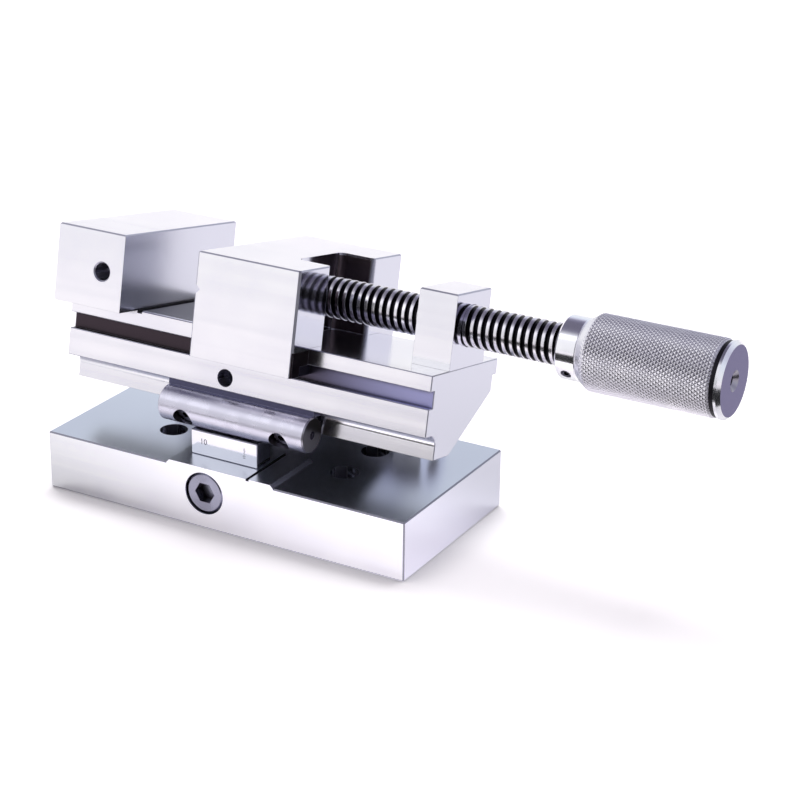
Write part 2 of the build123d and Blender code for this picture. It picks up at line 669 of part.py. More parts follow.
def collar_set_screw():
    top = COLLAR_R - COLLAR_SCREW_SINK
    screw = Pos(0, 0, top) * set_screw(COLLAR_SCREW_R, top - SPIGOT_R)
    return Pos(0, 0, SCREW_UP) * collar_place() * screw


def handle():
    """The grip, bored for the screw's spigot, with a web for its screw."""
    grip = rod_x(HANDLE_R, HANDLE_X + NOSE_L, GRIP_END)
    grip = chamfer(round_edges(grip).sort_by(Axis.X)[-1], GRIP_END_EDGE)
    nose = Rot(Y=90) * Cone(HANDLE_R - NOSE_RISE, HANDLE_R, NOSE_L)
    grip += Pos(HANDLE_X + NOSE_L / 2, 0, 0) * nose
    grip += rod_x(HANDLE_R - END_GROOVE_DEPTH, GRIP_END - PAST, HANDLE_END)
    grip -= rod_x(SPIGOT_R, HANDLE_X - PAST, HANDLE_X + SPIGOT_L)
    grip -= rod_x(HANDLE_SCREW_R, HANDLE_X + SPIGOT_L - PAST, WEB_END + PAST)
    grip -= rod_x(HANDLE_BORE_R, WEB_END, HANDLE_END + PAST)
    return Pos(0, 0, SCREW_UP) * grip


def handle_cap():
    """The end disc, plugged into the grip and drilled for the key."""
    disc_end = HANDLE_END + CAP_L
    cap = rod_x(HANDLE_R - CAP_STEP, HANDLE_END, disc_end)
    cap = chamfer(round_edges(cap).sort_by(Axis.X)[-1], CAP_EDGE)
    cap += rod_x(HANDLE_BORE_R, HANDLE_END - CAP_PLUG_L, HANDLE_END + CAP_L / 2)
    cap -= rod_x(CAP_HOLE_R, HANDLE_END - CAP_PLUG_L - PAST, disc_end + PAST)
    sink = Cone(CAP_HOLE_R, CAP_HOLE_R + CAP_SINK, CAP_SINK)
    cap -= Pos(disc_end - CAP_SINK / 2, 0, 0) * Rot(Y=90) * sink
    return Pos(0, 0, SCREW_UP) * cap


def handle_screw():
    """Fixes the handle to the end of the screw, reached through the cap."""
    screw = Rot(Y=90) * socket_screw(HANDLE_SCREW_R, HANDLE_SCREW_L)
    return Pos(WEB_END, 0, SCREW_UP) * screw


# Everything, by name

FIXED_TO_BASE = {
    "base_plate": base_plate(),
    "hinge_bracket_left": hinge_bracket(-1),
    "hinge_bracket_right": hinge_bracket(1),
    "bracket_screws": bracket_screws(),
    "bracket_dowels": bracket_dowels(),
    "lock_screw": lock_screw(),
    "lock_plug": lock_plug(),
    "gauge_block": gauge_block(),
}
ON_THE_VISE = {
    "vise_body": vise_body(),
    "front_roller": sine_roller(-1, FRONT_ROLLER_HALF),
    "hinge_roller": sine_roller(1, HINGE_ROLLER_HALF),
    "front_roller_screws": roller_screws(-1),
    "hinge_roller_screws": roller_screws(1),
    "lock_strap": lock_strap(),
    "strap_screw": strap_screw(),
    "nut_post": nut_post(),
    "post_screws": post_screws(),
    "post_dowels": post_dowels(),
    "movable_jaw": movable_jaw(),
    "keeper_front": keeper_plate(-1),
    "keeper_rear": keeper_plate(1),
    "keeper_screws": keeper_screws(),
    "retaining_pins": retaining_pins(),
    "thrust_button": thrust_button(),
    "lead_screw": lead_screw(),
    "collar": collar(),
    "collar_set_screw": collar_set_screw(),
    "handle": handle(),
    "handle_cap": handle_cap(),
    "handle_screw": handle_screw(),
}


def as_one(shapes):
    """One shape for a node that holds several separate like pieces."""
    return Compound(children=shapes) if isinstance(shapes, list) else shapes


for name, shapes in FIXED_TO_BASE.items():
    export_step(as_one(shapes), f"parts/{name}.step")
for name, shapes in ON_THE_VISE.items():
    export_step(tilted(as_one(shapes)), f"parts/{name}.step")
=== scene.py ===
import json
import math

import bmesh
import bpy
from mathutils import Matrix, Vector


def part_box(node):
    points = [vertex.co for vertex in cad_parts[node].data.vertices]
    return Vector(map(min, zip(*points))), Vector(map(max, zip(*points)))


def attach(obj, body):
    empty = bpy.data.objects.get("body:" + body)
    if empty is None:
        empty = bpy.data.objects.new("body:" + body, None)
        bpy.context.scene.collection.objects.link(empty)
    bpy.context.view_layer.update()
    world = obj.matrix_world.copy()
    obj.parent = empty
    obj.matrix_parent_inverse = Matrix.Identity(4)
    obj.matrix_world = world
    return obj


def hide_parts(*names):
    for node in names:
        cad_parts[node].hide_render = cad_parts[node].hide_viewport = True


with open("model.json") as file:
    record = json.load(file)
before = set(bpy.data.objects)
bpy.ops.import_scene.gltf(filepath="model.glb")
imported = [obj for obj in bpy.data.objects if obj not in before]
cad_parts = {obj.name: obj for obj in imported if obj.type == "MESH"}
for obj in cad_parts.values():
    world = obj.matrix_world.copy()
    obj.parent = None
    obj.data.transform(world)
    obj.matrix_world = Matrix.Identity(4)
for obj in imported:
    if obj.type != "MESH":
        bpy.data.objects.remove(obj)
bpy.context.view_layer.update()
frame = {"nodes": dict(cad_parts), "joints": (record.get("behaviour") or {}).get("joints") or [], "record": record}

# Camera
# The photograph's viewpoint: from the front right, a little above, with a long
# lens. Its place and turns were solved from the object's straight edges.
CAMERA_TARGET_AZIMUTH = math.radians(29.445)
CAMERA_ELEVATION = math.radians(22.706)
CAMERA_ROLL = math.radians(0.698)
CAMERA_PLACE = Vector((0.43616, -0.67320, 0.37632))
CAMERA_LENS_MM = 101.32

camera_data = bpy.data.cameras.new("photo_camera")
camera_data.sensor_width = 36.0
camera_data.lens = CAMERA_LENS_MM
camera_data.clip_start = 0.02
camera_data.clip_end = 50.0
camera = bpy.data.objects.new("photo_camera", camera_data)
bpy.context.scene.collection.objects.link(camera)
bpy.context.scene.camera = camera
flat = math.cos(CAMERA_ELEVATION)
back = Vector((math.sin(CAMERA_TARGET_AZIMUTH) * flat,
               -math.cos(CAMERA_TARGET_AZIMUTH) * flat,
               math.sin(CAMERA_ELEVATION)))
right = Vector((math.cos(CAMERA_TARGET_AZIMUTH), math.sin(CAMERA_TARGET_AZIMUTH), 0))
up = back.cross(right)
rolled_right = right * math.cos(CAMERA_ROLL) + up * math.sin(CAMERA_ROLL)
rolled_up = back.cross(rolled_right)
turn = Matrix((rolled_right, rolled_up, back)).transposed().to_4x4()
camera.matrix_world = Matrix.Translation(CAMERA_PLACE) @ turn

# Studio
# A white sweep lit by a wide lamp overhead, a soft box high at the front left for
# the polished faces, and a pale surround that is dark overhead and on the camera's
# side, where black cards also stand, so that the steel has something to mirror.
bpy.context.scene.view_settings.view_transform = "Standard"


def feed(socket, value):
    """Gives a socket its value: a link from another socket, or else the plain value."""
    if isinstance(value, bpy.types.NodeSocket):
        socket.id_data.links.new(value, socket)
    else:
        socket.default_value = value


def node_after(tree, kind, place, **values):
    """A new node; values names its settings and, by input name, its inputs or their links."""
    node = tree.nodes.new(kind)
    node.location = place
    for name, value in values.items():
        if hasattr(node, name):
            setattr(node, name, value)
        else:
            feed(node.inputs[name.replace("_", " ")], value)
    return node


def maths(tree, place, operation, *values, clamped=False):
    """A math node over numbers or links; returns its result."""
    node = node_after(tree, "ShaderNodeMath", place, operation=operation, use_clamp=clamped)
    for socket, value in zip(node.inputs, values):
        feed(socket, value)
    return node.outputs[0]


def vector_maths(tree, place, operation, *values):
    """A vector math node over vectors or links; returns its vector, or its number if it has one."""
    node = node_after(tree, "ShaderNodeVectorMath", place, operation=operation)
    for socket, value in zip(node.inputs, values):
        feed(socket, value)
    return node.outputs["Value" if operation in ("DOT_PRODUCT", "LENGTH") else "Vector"]


def ramp_by(tree, factor, place, stops):
    """A colour ramp along factor from (place, red, green, blue) stops; returns its colour."""
    ramp = node_after(tree, "ShaderNodeValToRGB", place, Fac=factor)
    elements = ramp.color_ramp.elements
    while len(elements) < len(stops):
        elements.new(1.0)
    for element, (position, *colour) in zip(elements, stops):
        element.position = position
        element.color = (*colour, 1)
    return ramp.outputs["Color"]


def mix_colour(tree, place, factor, colour_a, colour_b):
    """Mixes two colours or colour links by a link; returns the mixed colour."""
    mix = node_after(tree, "ShaderNodeMix", place, data_type="RGBA", Factor=factor)
    for name, colour in (("A", colour_a), ("B", colour_b)):
        feed(mix.inputs[name], (*colour, 1) if isinstance(colour, tuple) else colour)
    return mix.outputs["Result"]


def mix_value(tree, place, factor, value_a, value_b):
    """Mixes two numbers or value links by a link; returns the mixed value."""
    mix = node_after(tree, "ShaderNodeMix", place, data_type="FLOAT", Factor=factor,
                     A=value_a, B=value_b)
    return mix.outputs["Result"]


def between(tree, place, factor, low, high, start, end):
    """Smoothly maps factor from start..end to low..high; returns the value."""
    spread = node_after(tree, "ShaderNodeMapRange", place, interpolation_type="SMOOTHSTEP",
                        Value=factor, From_Min=start, From_Max=end, To_Min=low, To_Max=high)
    return spread.outputs["Result"]


def mask_along(tree, place, factor, start, end):
    """A mask that is 0 where factor is at start and 1 where it is at end; returns its link."""
    return between(tree, place, factor, 0.0, 1.0, start, end)


NEAR_LEFT = (-0.87, -0.49, 0.0)  # the soft box's side of the room
NEAR_LEFT_FADE = (0.15, 0.65)
CAMERA_SIDE = (0.35, -0.94, 0.0)
CAMERA_SIDE_FADE = (0.70, 0.90)
DARK_ROOM = (0.05, 0.045, 0.055)
WHITE = (1.0, 1.0, 1.0)
SURROUND_ON_FLOOR = 0.3         # share of the surround that lights the matt floor
world = bpy.data.worlds.new("studio_surround")
bpy.context.scene.world = world
world.use_nodes = True
tree = world.node_tree
tree.nodes.clear()
direction = node_after(tree, "ShaderNodeTexCoord", (-1400, 0)).outputs["Generated"]
height = node_after(tree, "ShaderNodeSeparateXYZ", (-1200, 0), Vector=direction).outputs["Z"]
sides = []
for y, side, fade in ((-200, NEAR_LEFT, NEAR_LEFT_FADE), (-400, CAMERA_SIDE, CAMERA_SIDE_FADE)):
    towards = vector_maths(tree, (-1200, y), "DOT_PRODUCT", direction, side)
    sides.append(mask_along(tree, (-1000, y), towards, *fade))
far_sky = ramp_by(tree, height, (-900, 250), [
    (0.0, 0.96, 0.96, 0.98),
    (0.25, 0.90, 0.93, 0.98),
    (0.45, 0.82, 0.87, 0.97),
    (0.58, 0.60, 0.60, 0.74),
    (0.68, 0.27, 0.26, 0.36),
    (0.80, 0.17, 0.16, 0.23),
    (1.0, 0.12, 0.11, 0.16),
])
near_sky = ramp_by(tree, height, (-900, 0), [
    (0.0, 0.98, 0.98, 1.0),
    (0.50, 0.95, 0.95, 0.98),
    (0.75, 0.90, 0.90, 0.95),
    (0.84, 0.72, 0.72, 0.79),
    (0.90, 0.24, 0.23, 0.31),
    (1.0, 0.12, 0.11, 0.16),
])
surround = mix_colour(tree, (-600, 100), sides[0], far_sky, near_sky)
surround = mix_colour(tree, (-450, 100), sides[1], surround, DARK_ROOM)
light_path = node_after(tree, "ShaderNodeLightPath", (-600, -200)).outputs
surround = mix_colour(tree, (-300, 100), light_path["Is Camera Ray"], surround, WHITE)
strength = maths(tree, (-350, -200), "MULTIPLY_ADD", light_path["Is Diffuse Ray"],
                 SURROUND_ON_FLOOR - 1, 1.0)
sky = node_after(tree, "ShaderNodeBackground", (-150, 100), Color=surround, Strength=strength)
node_after(tree, "ShaderNodeOutputWorld", (50, 100), Surface=sky.outputs["Background"])


def stage_sheet(name, width, length, material):
    """A flat sheet that belongs to the studio, not to the object."""
    mesh = bpy.data.meshes.new(name)
    sheet_bm = bmesh.new()
    bmesh.ops.create_grid(sheet_bm, x_segments=1, y_segments=1, size=0.5)
    bmesh.ops.scale(sheet_bm, vec=(width, length, 1), verts=sheet_bm.verts)
    sheet_bm.to_mesh(mesh)
    sheet_bm.free()
    mesh.materials.append(material)
    sheet = bpy.data.objects.new(name, mesh)
    bpy.context.scene.collection.objects.link(sheet)
    return sheet


PAPER_COLOUR = (0.80, 0.80, 0.80, 1)
GLOW_COLOUR = (0.64, 0.60, 0.63, 1)  # lifts the lit floor to white, leaves the shadow mauve
GLOW_NEAR_R = 0.30
GLOW_FAR_R = 1.60
SEEN_FAR_GLOW = 1.75            # far off the lamps give out and more glow takes over
# painted contact shadow: an occlusion mask dims the floor's glow next to what stands on it
FOOT_REACH = 0.022              # the glow fades this close to what stands on the floor
FOOT_GLOW = 0.35
FOOT_FADE = (0.4, 0.95)
LIT_SIDE = (0.8, -1.5, 0.0)     # close by, polished faces mirror more glow on this side
LIT_FROM = -0.02
LIT_FULL = 0.12
LIT_GLOW = 1.20
SHADED_GLOW = 0.22
CLOSE_R = 0.10
OPEN_R = 0.25
OPEN_GLOW = 0.44                # what they mirror past the object's own shadow
MIRRORED_FAR_GLOW = 1.36
white_sweep = bpy.data.materials.new("white_sweep")
white_sweep.use_nodes = True
tree = white_sweep.node_tree
tree.nodes.clear()
floor_place = node_after(tree, "ShaderNodeTexCoord", (-1100, -450)).outputs["Object"]
from_middle = vector_maths(tree, (-900, -450), "LENGTH", floor_place)
far_off = mask_along(tree, (-750, -450), from_middle, GLOW_NEAR_R, GLOW_FAR_R)
foot = node_after(tree, "ShaderNodeAmbientOcclusion", (-950, -850), samples=8, Distance=FOOT_REACH)
foot_glow = between(tree, (-750, -850), foot.outputs["AO"], FOOT_GLOW, 1.0, *FOOT_FADE)
glow_seen = mix_value(tree, (-550, -850), far_off, foot_glow, SEEN_FAR_GLOW)
lit_side = vector_maths(tree, (-900, -650), "DOT_PRODUCT", floor_place, LIT_SIDE)
side_glow = between(tree, (-750, -650), lit_side, SHADED_GLOW, LIT_GLOW, LIT_FROM, LIT_FULL)
in_open = mask_along(tree, (-750, -1050), from_middle, CLOSE_R, OPEN_R)
open_glow = mix_value(tree, (-550, -650), in_open, side_glow, OPEN_GLOW)
glow_mirrored = mix_value(tree, (-400, -650), far_off, open_glow, MIRRORED_FAR_GLOW)
light_path = node_after(tree, "ShaderNodeLightPath", (-1100, -200)).outputs
mirrored = maths(tree, (-950, -200), "MAXIMUM",
                 light_path["Is Glossy Ray"], light_path["Is Transmission Ray"])
glow_here = mix_value(tree, (-400, -450), mirrored, glow_seen, glow_mirrored)
seen = maths(tree, (-600, -250), "MAXIMUM", light_path["Is Camera Ray"], mirrored)
strength = maths(tree, (-550, -350), "MULTIPLY", seen, glow_here)
paper = node_after(tree, "ShaderNodeBsdfDiffuse", (-400, 0), Color=PAPER_COLOUR)
glow = node_after(tree, "ShaderNodeEmission", (-400, -150), Color=GLOW_COLOUR, Strength=strength)
both = node_after(tree, "ShaderNodeAddShader", (-200, 0))
for socket, shader in zip(both.inputs, (paper, glow)):
    feed(socket, shader.outputs[0])
node_after(tree, "ShaderNodeOutputMaterial", (0, 0), Surface=both.outputs[0])
FLOOR_SIZE = 16.0
FLOOR_GAP = 0.0002              # keeps the floor clear of the base's underside
floor = stage_sheet("sweep", FLOOR_SIZE, FLOOR_SIZE, white_sweep)
floor.location.z = -FLOOR_GAP

CARD_W = 0.76
CARD_H = 0.50
CARD_NEAR = 0.13                # the lying card's near edge, from the object's middle
CARD_FAR = 0.62                 # the standing card's place
CARD_LIFT = 0.0005
black_card = bpy.data.materials.new("black_card")
black_card.use_nodes = True
card_face = black_card.node_tree.nodes["Principled BSDF"].inputs
card_face["Base Color"].default_value = (0.02, 0.02, 0.02, 1)
card_face["Roughness"].default_value = 0.9
towards_camera = Vector((math.sin(CAMERA_TARGET_AZIMUTH), -math.cos(CAMERA_TARGET_AZIMUTH), 0))
for name, length, distance, height, lean in (
        ("standing_card", CARD_H, CARD_FAR, CARD_H / 2, 90),
        ("lying_card", CARD_FAR - CARD_NEAR, (CARD_NEAR + CARD_FAR) / 2, CARD_LIFT, 0)):
    card = stage_sheet(name, CARD_W, length, black_card)
    card.location = towards_camera * distance + Vector((0, 0, height))
    card.rotation_euler = (math.radians(lean), 0, CAMERA_TARGET_AZIMUTH)
    card.visible_camera = False
    card.visible_diffuse = False
    card.visible_shadow = False


def area_lamp(name, width, depth, watts, place, target):
    """A rectangular lamp at place, aimed at target."""
    data = bpy.data.lights.new(name, "AREA")
    data.shape = "RECTANGLE"
    data.size = width
    data.size_y = depth
    data.energy = watts
    lamp = bpy.data.objects.new(name, data)
    lamp.location = Vector(place)
    lamp.rotation_mode = "QUATERNION"
    lamp.rotation_quaternion = (Vector(target) - lamp.location).to_track_quat("-Z", "Y")
    bpy.context.scene.collection.objects.link(lamp)
    return lamp


soft_box = area_lamp("soft_box", width=0.45, depth=0.9, watts=0.65,
                     place=(-0.70, -0.90, 1.05), target=(0.0, 0.0, 0.04))
soft_box.visible_diffuse = False  # it only puts its shape into the polished faces
overhead_lamp = area_lamp("overhead_lamp", width=1.8, depth=0.6, watts=21.0,
                          place=(-0.40, 0.50, 1.40), target=(-0.40, 0.0, 0.0))
overhead_lamp.visible_glossy = False  # it only lights the floor and casts the shadow

# Base plate
# One block of tool steel, hardened and surface ground all over, with a raised
# land for the gauge blocks. Its top is lapped nearly to a mirror. Everything
# else is screwed or doweled to it.


def group_tree(name, inputs, outputs):
    """An empty shader node group with named sockets, each (name, kind, value)."""
    group = bpy.data.node_groups.new(name, "ShaderNodeTree")
    for socket, kind, value in inputs:
        made = group.interface.new_socket(socket, in_out="INPUT", socket_type=kind)
        made.default_value = value
    for socket in outputs:
        group.interface.new_socket(socket, in_out="OUTPUT", socket_type="NodeSocketFloat")
    group.nodes.new("NodeGroupInput").location = (-1200, 0)
    group.nodes.new("NodeGroupOutput").location = (600, 0)
    return group, group.nodes["Group Input"].outputs, group.nodes["Group Output"].inputs


def turned_by(tree, place, vector, angle, centre=(0, 0, 0)):
    """A vector link turned about the X axis through centre; returns the turned link."""
    rotate = node_after(tree, "ShaderNodeVectorRotate", place, rotation_type="X_AXIS",
                        Vector=vector, Angle=angle, Center=centre)
    return rotate.outputs["Vector"]


# Ground grain: fine scratches along the wheel's path. They run along the piece
# on its long faces and across it on its end faces, in the piece's own tilt.
ground_grain, given, out = group_tree(
    "ground_grain",
    [("Turn", "NodeSocketFloat", 0.0),
     ("Scratch Spacing", "NodeSocketFloat", 0.0004),
     ("Streak Spacing", "NodeSocketFloat", 0.004)],
    ["Scratches", "Streaks", "Mottle", "End Face", "Top Face", "Slanted"])
SCRATCH_THINNESS = 0.012        # a scratch's width as a share of its length
SQUARE_ON = 0.9                 # a face belongs to an axis if its normal has this share of it
SLANTED_RANGE = (0.985, 0.90)   # a face counts as slanted as its largest share falls to this
MOTTLE_SCALE = 38.0
NOISE_RANGE = (0.3, 0.7)        # noise seldom leaves this range
coordinates = node_after(ground_grain, "ShaderNodeTexCoord", (-1200, -300)).outputs
square = turned_by(ground_grain, (-1000, -200), coordinates["Object"], given["Turn"])
square_normal = turned_by(ground_grain, (-1000, -500), coordinates["Normal"], given["Turn"])
facing = node_after(ground_grain, "ShaderNodeSeparateXYZ", (-850, -500), Vector=square_normal)
share_x, share_y, share_z = (maths(ground_grain, (-700, -500), "ABSOLUTE", facing.outputs[axis])
                             for axis in "XYZ")
is_end = maths(ground_grain, (-550, -500), "GREATER_THAN", share_x, SQUARE_ON)
feed(out["End Face"], is_end)
feed(out["Top Face"], maths(ground_grain, (-550, -650), "GREATER_THAN", share_z, SQUARE_ON))
squareness = maths(ground_grain, (-550, -800), "MAXIMUM", share_x, share_y)
squareness = maths(ground_grain, (-400, -800), "MAXIMUM", squareness, share_z)
feed(out["Slanted"], mask_along(ground_grain, (-200, -800), squareness, *SLANTED_RANGE))
stretch = node_after(ground_grain, "ShaderNodeMix", (-650, -250), data_type="VECTOR",
                     Factor=is_end, A=(SCRATCH_THINNESS, 1.0, 1.0), B=(1.0, SCRATCH_THINNESS, 1.0))
along = vector_maths(ground_grain, (-450, -200), "MULTIPLY", square, stretch.outputs["Result"])
for y, spacing, output, detail in ((-100, "Scratch Spacing", "Scratches", 3.0),
                                   (-350, "Streak Spacing", "Streaks", 2.0)):
    density = maths(ground_grain, (-300, y), "DIVIDE", 1.0, given[spacing])
    noise = node_after(ground_grain, "ShaderNodeTexNoise", (-100, y), Vector=along,
                       Scale=density, Detail=detail, Roughness=0.6)
    feed(out[output], noise.outputs["Fac"])
mottle = node_after(ground_grain, "ShaderNodeTexNoise", (-100, -600), Vector=square,
                    Scale=MOTTLE_SCALE, Detail=3.0, Roughness=0.55)
feed(out["Mottle"], mask_along(ground_grain, (200, -600), mottle.outputs["Fac"], *NOISE_RANGE))

# Painted edges: a mask that is 1 along edges that were broken with a stone.
# On the bright steel the grey laid there is painted shade, for what the narrow chamfers mirror.
painted_edges, given, out = group_tree(
    "painted_edges",
    [("Width", "NodeSocketFloat", 0.0003), ("Patchiness", "NodeSocketFloat", 0.4)],
    ["Mask"])
BEND_RANGE = (0.975, 0.87)      # how far the rounded normal leaves the true one at an edge
PATCH_SCALE = 160.0
rounded = node_after(painted_edges, "ShaderNodeBevel", (-900, 0), samples=6, Radius=given["Width"])
true_normal = node_after(painted_edges, "ShaderNodeNewGeometry", (-900, -200)).outputs["Normal"]
match = vector_maths(painted_edges, (-700, 0), "DOT_PRODUCT", rounded.outputs["Normal"], true_normal)
bend = mask_along(painted_edges, (-500, 0), match, *BEND_RANGE)
stone_place = node_after(painted_edges, "ShaderNodeTexCoord", (-900, -450)).outputs["Object"]
patches = node_after(painted_edges, "ShaderNodeTexNoise", (-700, -450), Vector=stone_place,
                     Scale=PATCH_SCALE, Detail=4.0)
patch_drop = maths(painted_edges, (-500, -450), "MULTIPLY",
                   patches.outputs["Fac"], given["Patchiness"])
left_over = maths(painted_edges, (-300, -300), "SUBTRACT", 1.0, patch_drop)
feed(out["Mask"], maths(painted_edges, (-100, 0), "MULTIPLY", bend, left_over))

# Own recess: a mask that is 1 in a piece's own holes and corners, found by
# occlusion; it carries the painted shade laid into them.
own_recess, given, out = group_tree("own_recess", [("Reach", "NodeSocketFloat", 0.004)], ["Mask"])
SHELTER_RANGE = (0.85, 0.35)
shelter = node_after(own_recess, "ShaderNodeAmbientOcclusion", (-800, 0), samples=8,
                     only_local=True, Distance=given["Reach"])
feed(out["Mask"], mask_along(own_recess, (-400, 0), shelter.outputs["AO"], *SHELTER_RANGE))

# painted shade on chamfers and broken edges
EDGE_GREY = (0.32, 0.32, 0.38)
EDGE_ROUGHNESS = 0.45
# painted shade: the dark laid into holes and corners
RECESS_SHADE = (0.05, 0.042, 0.048)
RECESS_ROUGHNESS = 0.40
TOP_ROUGHNESS = 0.28
GRIND_ANISOTROPY = 0.35
STREAK_SHARE = 0.5              # how much of the tint the streaks bring at most
SCRATCH_DEPTH = 0.00002


def metal(name):
    """A new bare metal; returns the material, its node tree and its shader's inputs."""
    material = bpy.data.materials.new(name)
    material.use_nodes = True
    steel = material.node_tree.nodes["Principled BSDF"].inputs
    steel["Metallic"].default_value = 1.0
    return material, material.node_tree, steel


def lay_over(material, mask, colour, roughness):
    """Lays a colour and a roughness over the finish so far where mask is 1, mostly painted shade."""
    tree = material.node_tree
    steel = tree.nodes["Principled BSDF"].inputs
    colour_below = steel["Base Color"].links[0].from_socket
    roughness_below = steel["Roughness"].links[0].from_socket
    feed(steel["Base Color"], mix_colour(tree, (-300, 300), mask, colour_below, colour))
    feed(steel["Roughness"], mix_value(tree, (-300, 0), mask, roughness_below, roughness))


def ground_steel(name, colour, tint, ends, roughness, turn, bump=0.14, slants=None, tops=None,
                 end_roughness=0.16):
    """Surface-ground steel with scratches and streaks along the grind.

    ends, slants and tops are the colours of its end faces, chamfers and top, painted darker as painted shade.
    """
    material, tree, steel = metal(name)
    steel["Anisotropic"].default_value = GRIND_ANISOTROPY
    grain = node_after(tree, "ShaderNodeGroup", (-1500, 0), node_tree=ground_grain, Turn=turn).outputs
    body = mix_colour(tree, (-1200, 200), grain["Mottle"], colour, tint)
    streaks = between(tree, (-1200, 0), grain["Streaks"], 0.0, STREAK_SHARE, *NOISE_RANGE)
    feed(steel["Base Color"], mix_colour(tree, (-900, 200), streaks, body, tint))
    feed(steel["Roughness"], between(tree, (-1200, -150), grain["Streaks"],
                                     roughness * 0.75, roughness * 1.3, 0.0, 1.0))
    lay_over(material, grain["End Face"], ends, end_roughness)
    if tops:
        lay_over(material, grain["Top Face"], tops, TOP_ROUGHNESS)
    if slants:
        lay_over(material, grain["Slanted"], slants, EDGE_ROUGHNESS)
    relief = node_after(tree, "ShaderNodeBump", (-400, -300), Strength=bump,
                        Distance=SCRATCH_DEPTH, Height=grain["Scratches"])
    feed(steel["Normal"], relief.outputs["Normal"])
    return material


def recess_shade_and_edges(material, reach=0.004, width=0.0003, edge=EDGE_GREY):
    """Painted shade in the piece's own recesses if it has a reach, then its painted edges."""
    tree = material.node_tree
    if reach:
        recess = node_after(tree, "ShaderNodeGroup", (-600, 500), node_tree=own_recess, Reach=reach)
        lay_over(material, recess.outputs["Mask"], RECESS_SHADE, RECESS_ROUGHNESS)
    edges = node_after(tree, "ShaderNodeGroup", (-600, 700), node_tree=painted_edges, Width=width)
    lay_over(material, edges.outputs["Mask"], edge, EDGE_ROUGHNESS)


def finish_node(node, material):
    """Gives a CAD node its finish in place of the plain packed one."""
    mesh = frame["nodes"][node].data
    mesh.materials.clear()
    mesh.materials.append(material)


GROUND_COLOUR = (0.94, 0.94, 0.96)
GROUND_TINT = (0.85, 0.85, 0.90)
# painted shade: end faces darker and bluer than the long faces
SHADED_ENDS = (0.77, 0.77, 0.87)
# painted shade: the top darker and bluer, for the dark it mirrors
SHADED_TOP = (0.70, 0.74, 0.81)
BASE_ROUGHNESS = 0.14
base_steel = ground_steel("base_steel", GROUND_COLOUR, GROUND_TINT, SHADED_ENDS, BASE_ROUGHNESS,
                          turn=0.0, bump=0.05, slants=EDGE_GREY, tops=SHADED_TOP)
recess_shade_and_edges(base_steel)
finish_node("base_plate", base_steel)

# Hinge brackets
# Two ground uprights with round tops. Each carries one journal of the hinge
# roller, and is held by two screws from below and two dowels.
BRACKET_ROUGHNESS = 0.20
bracket_steel = ground_steel("bracket_steel", GROUND_COLOUR, GROUND_TINT, SHADED_ENDS,
                             BRACKET_ROUGHNESS, turn=0.0)
recess_shade_and_edges(bracket_steel)
for node in ("hinge_bracket_left", "hinge_bracket_right"):
    finish_node(node, bracket_steel)

BLOTCH_SCALE = 140.0
GRIT_SPACING = 0.0002
GRIT_DEPTH = 0.00003


def plain_steel(name, colour, stain, roughness, bump=0.12):
    """Turned or heat-treated steel with no grind direction, with a faint oil stain."""
    material, tree, steel = metal(name)
    place = node_after(tree, "ShaderNodeTexCoord", (-1400, 0)).outputs["Object"]
    blotch = node_after(tree, "ShaderNodeTexNoise", (-1200, 100), Vector=place,
                        Scale=BLOTCH_SCALE, Detail=1.0)
    grit = node_after(tree, "ShaderNodeTexNoise", (-1200, -200), Vector=place,
                      Scale=1 / GRIT_SPACING, Detail=2.0)
    stain_mask = mask_along(tree, (-1000, 100), blotch.outputs["Fac"], *NOISE_RANGE)
    feed(steel["Base Color"], mix_colour(tree, (-900, 200), stain_mask, colour, stain))
    feed(steel["Roughness"], between(tree, (-900, -100), stain_mask,
                                     roughness * 0.9, roughness * 1.15, 0.0, 1.0))
    relief = node_after(tree, "ShaderNodeBump", (-650, -250), Strength=bump,
                        Distance=GRIT_DEPTH, Height=grit.outputs["Fac"])
    feed(steel["Normal"], relief.outputs["Normal"])
    return material


# the screws' edges are painted lighter than their dark heads
SCREW_EDGE = (0.45, 0.45, 0.52)
screw_steel = plain_steel("screw_steel", colour=(0.16, 0.15, 0.19), stain=(0.10, 0.10, 0.13),
                          roughness=0.30)
recess_shade_and_edges(screw_steel, reach=0.003, edge=SCREW_EDGE)
pin_steel = plain_steel("pin_steel", colour=(0.70, 0.70, 0.75), stain=(0.58, 0.58, 0.64),
                        roughness=0.18)
recess_shade_and_edges(pin_steel, reach=0.003)
finish_node("bracket_screws", screw_steel)
finish_node("bracket_dowels", pin_steel)

# Lock screw and plug
# A socket screw sunk in the base's front face. It pushes a hollow-ended plug
# against the strap and so locks the tilt. Its head is faced bright grey.
# painted shade: the head's edges darker than its face
LOCK_EDGE = (0.12, 0.11, 0.15)
lock_head_steel = plain_steel("lock_head_steel", colour=(0.34, 0.34, 0.43),
                              stain=(0.27, 0.27, 0.34), roughness=0.26)
recess_shade_and_edges(lock_head_steel, width=0.0004, edge=LOCK_EDGE)
finish_node("lock_screw", lock_head_steel)
finish_node("lock_plug", pin_steel)

# Gauge block
# The loose hardened block under the front roller that sets the angle, lapped
# on its two long faces. Its nominal size in millimetres is etched on the front.
GAUGE_COLOUR = (0.78, 0.78, 0.83)
GAUGE_TINT = (0.74, 0.74, 0.80)
GAUGE_ROUGHNESS = 0.10
gauge_steel = ground_steel("gauge_steel", GAUGE_COLOUR, GAUGE_TINT, SHADED_ENDS, GAUGE_ROUGHNESS,
                           turn=0.0, bump=0.03, slants=EDGE_GREY)
recess_shade_and_edges(gauge_steel)
finish_node("gauge_block", gauge_steel)

ETCH_FILM = 0.00001             # the etched marks lie this far proud of the face
gauge_low, gauge_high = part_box("gauge_block")
etched = plain_steel("etched_marks", colour=(0.10, 0.09, 0.12), stain=(0.16, 0.15, 0.19),
                     roughness=0.6)


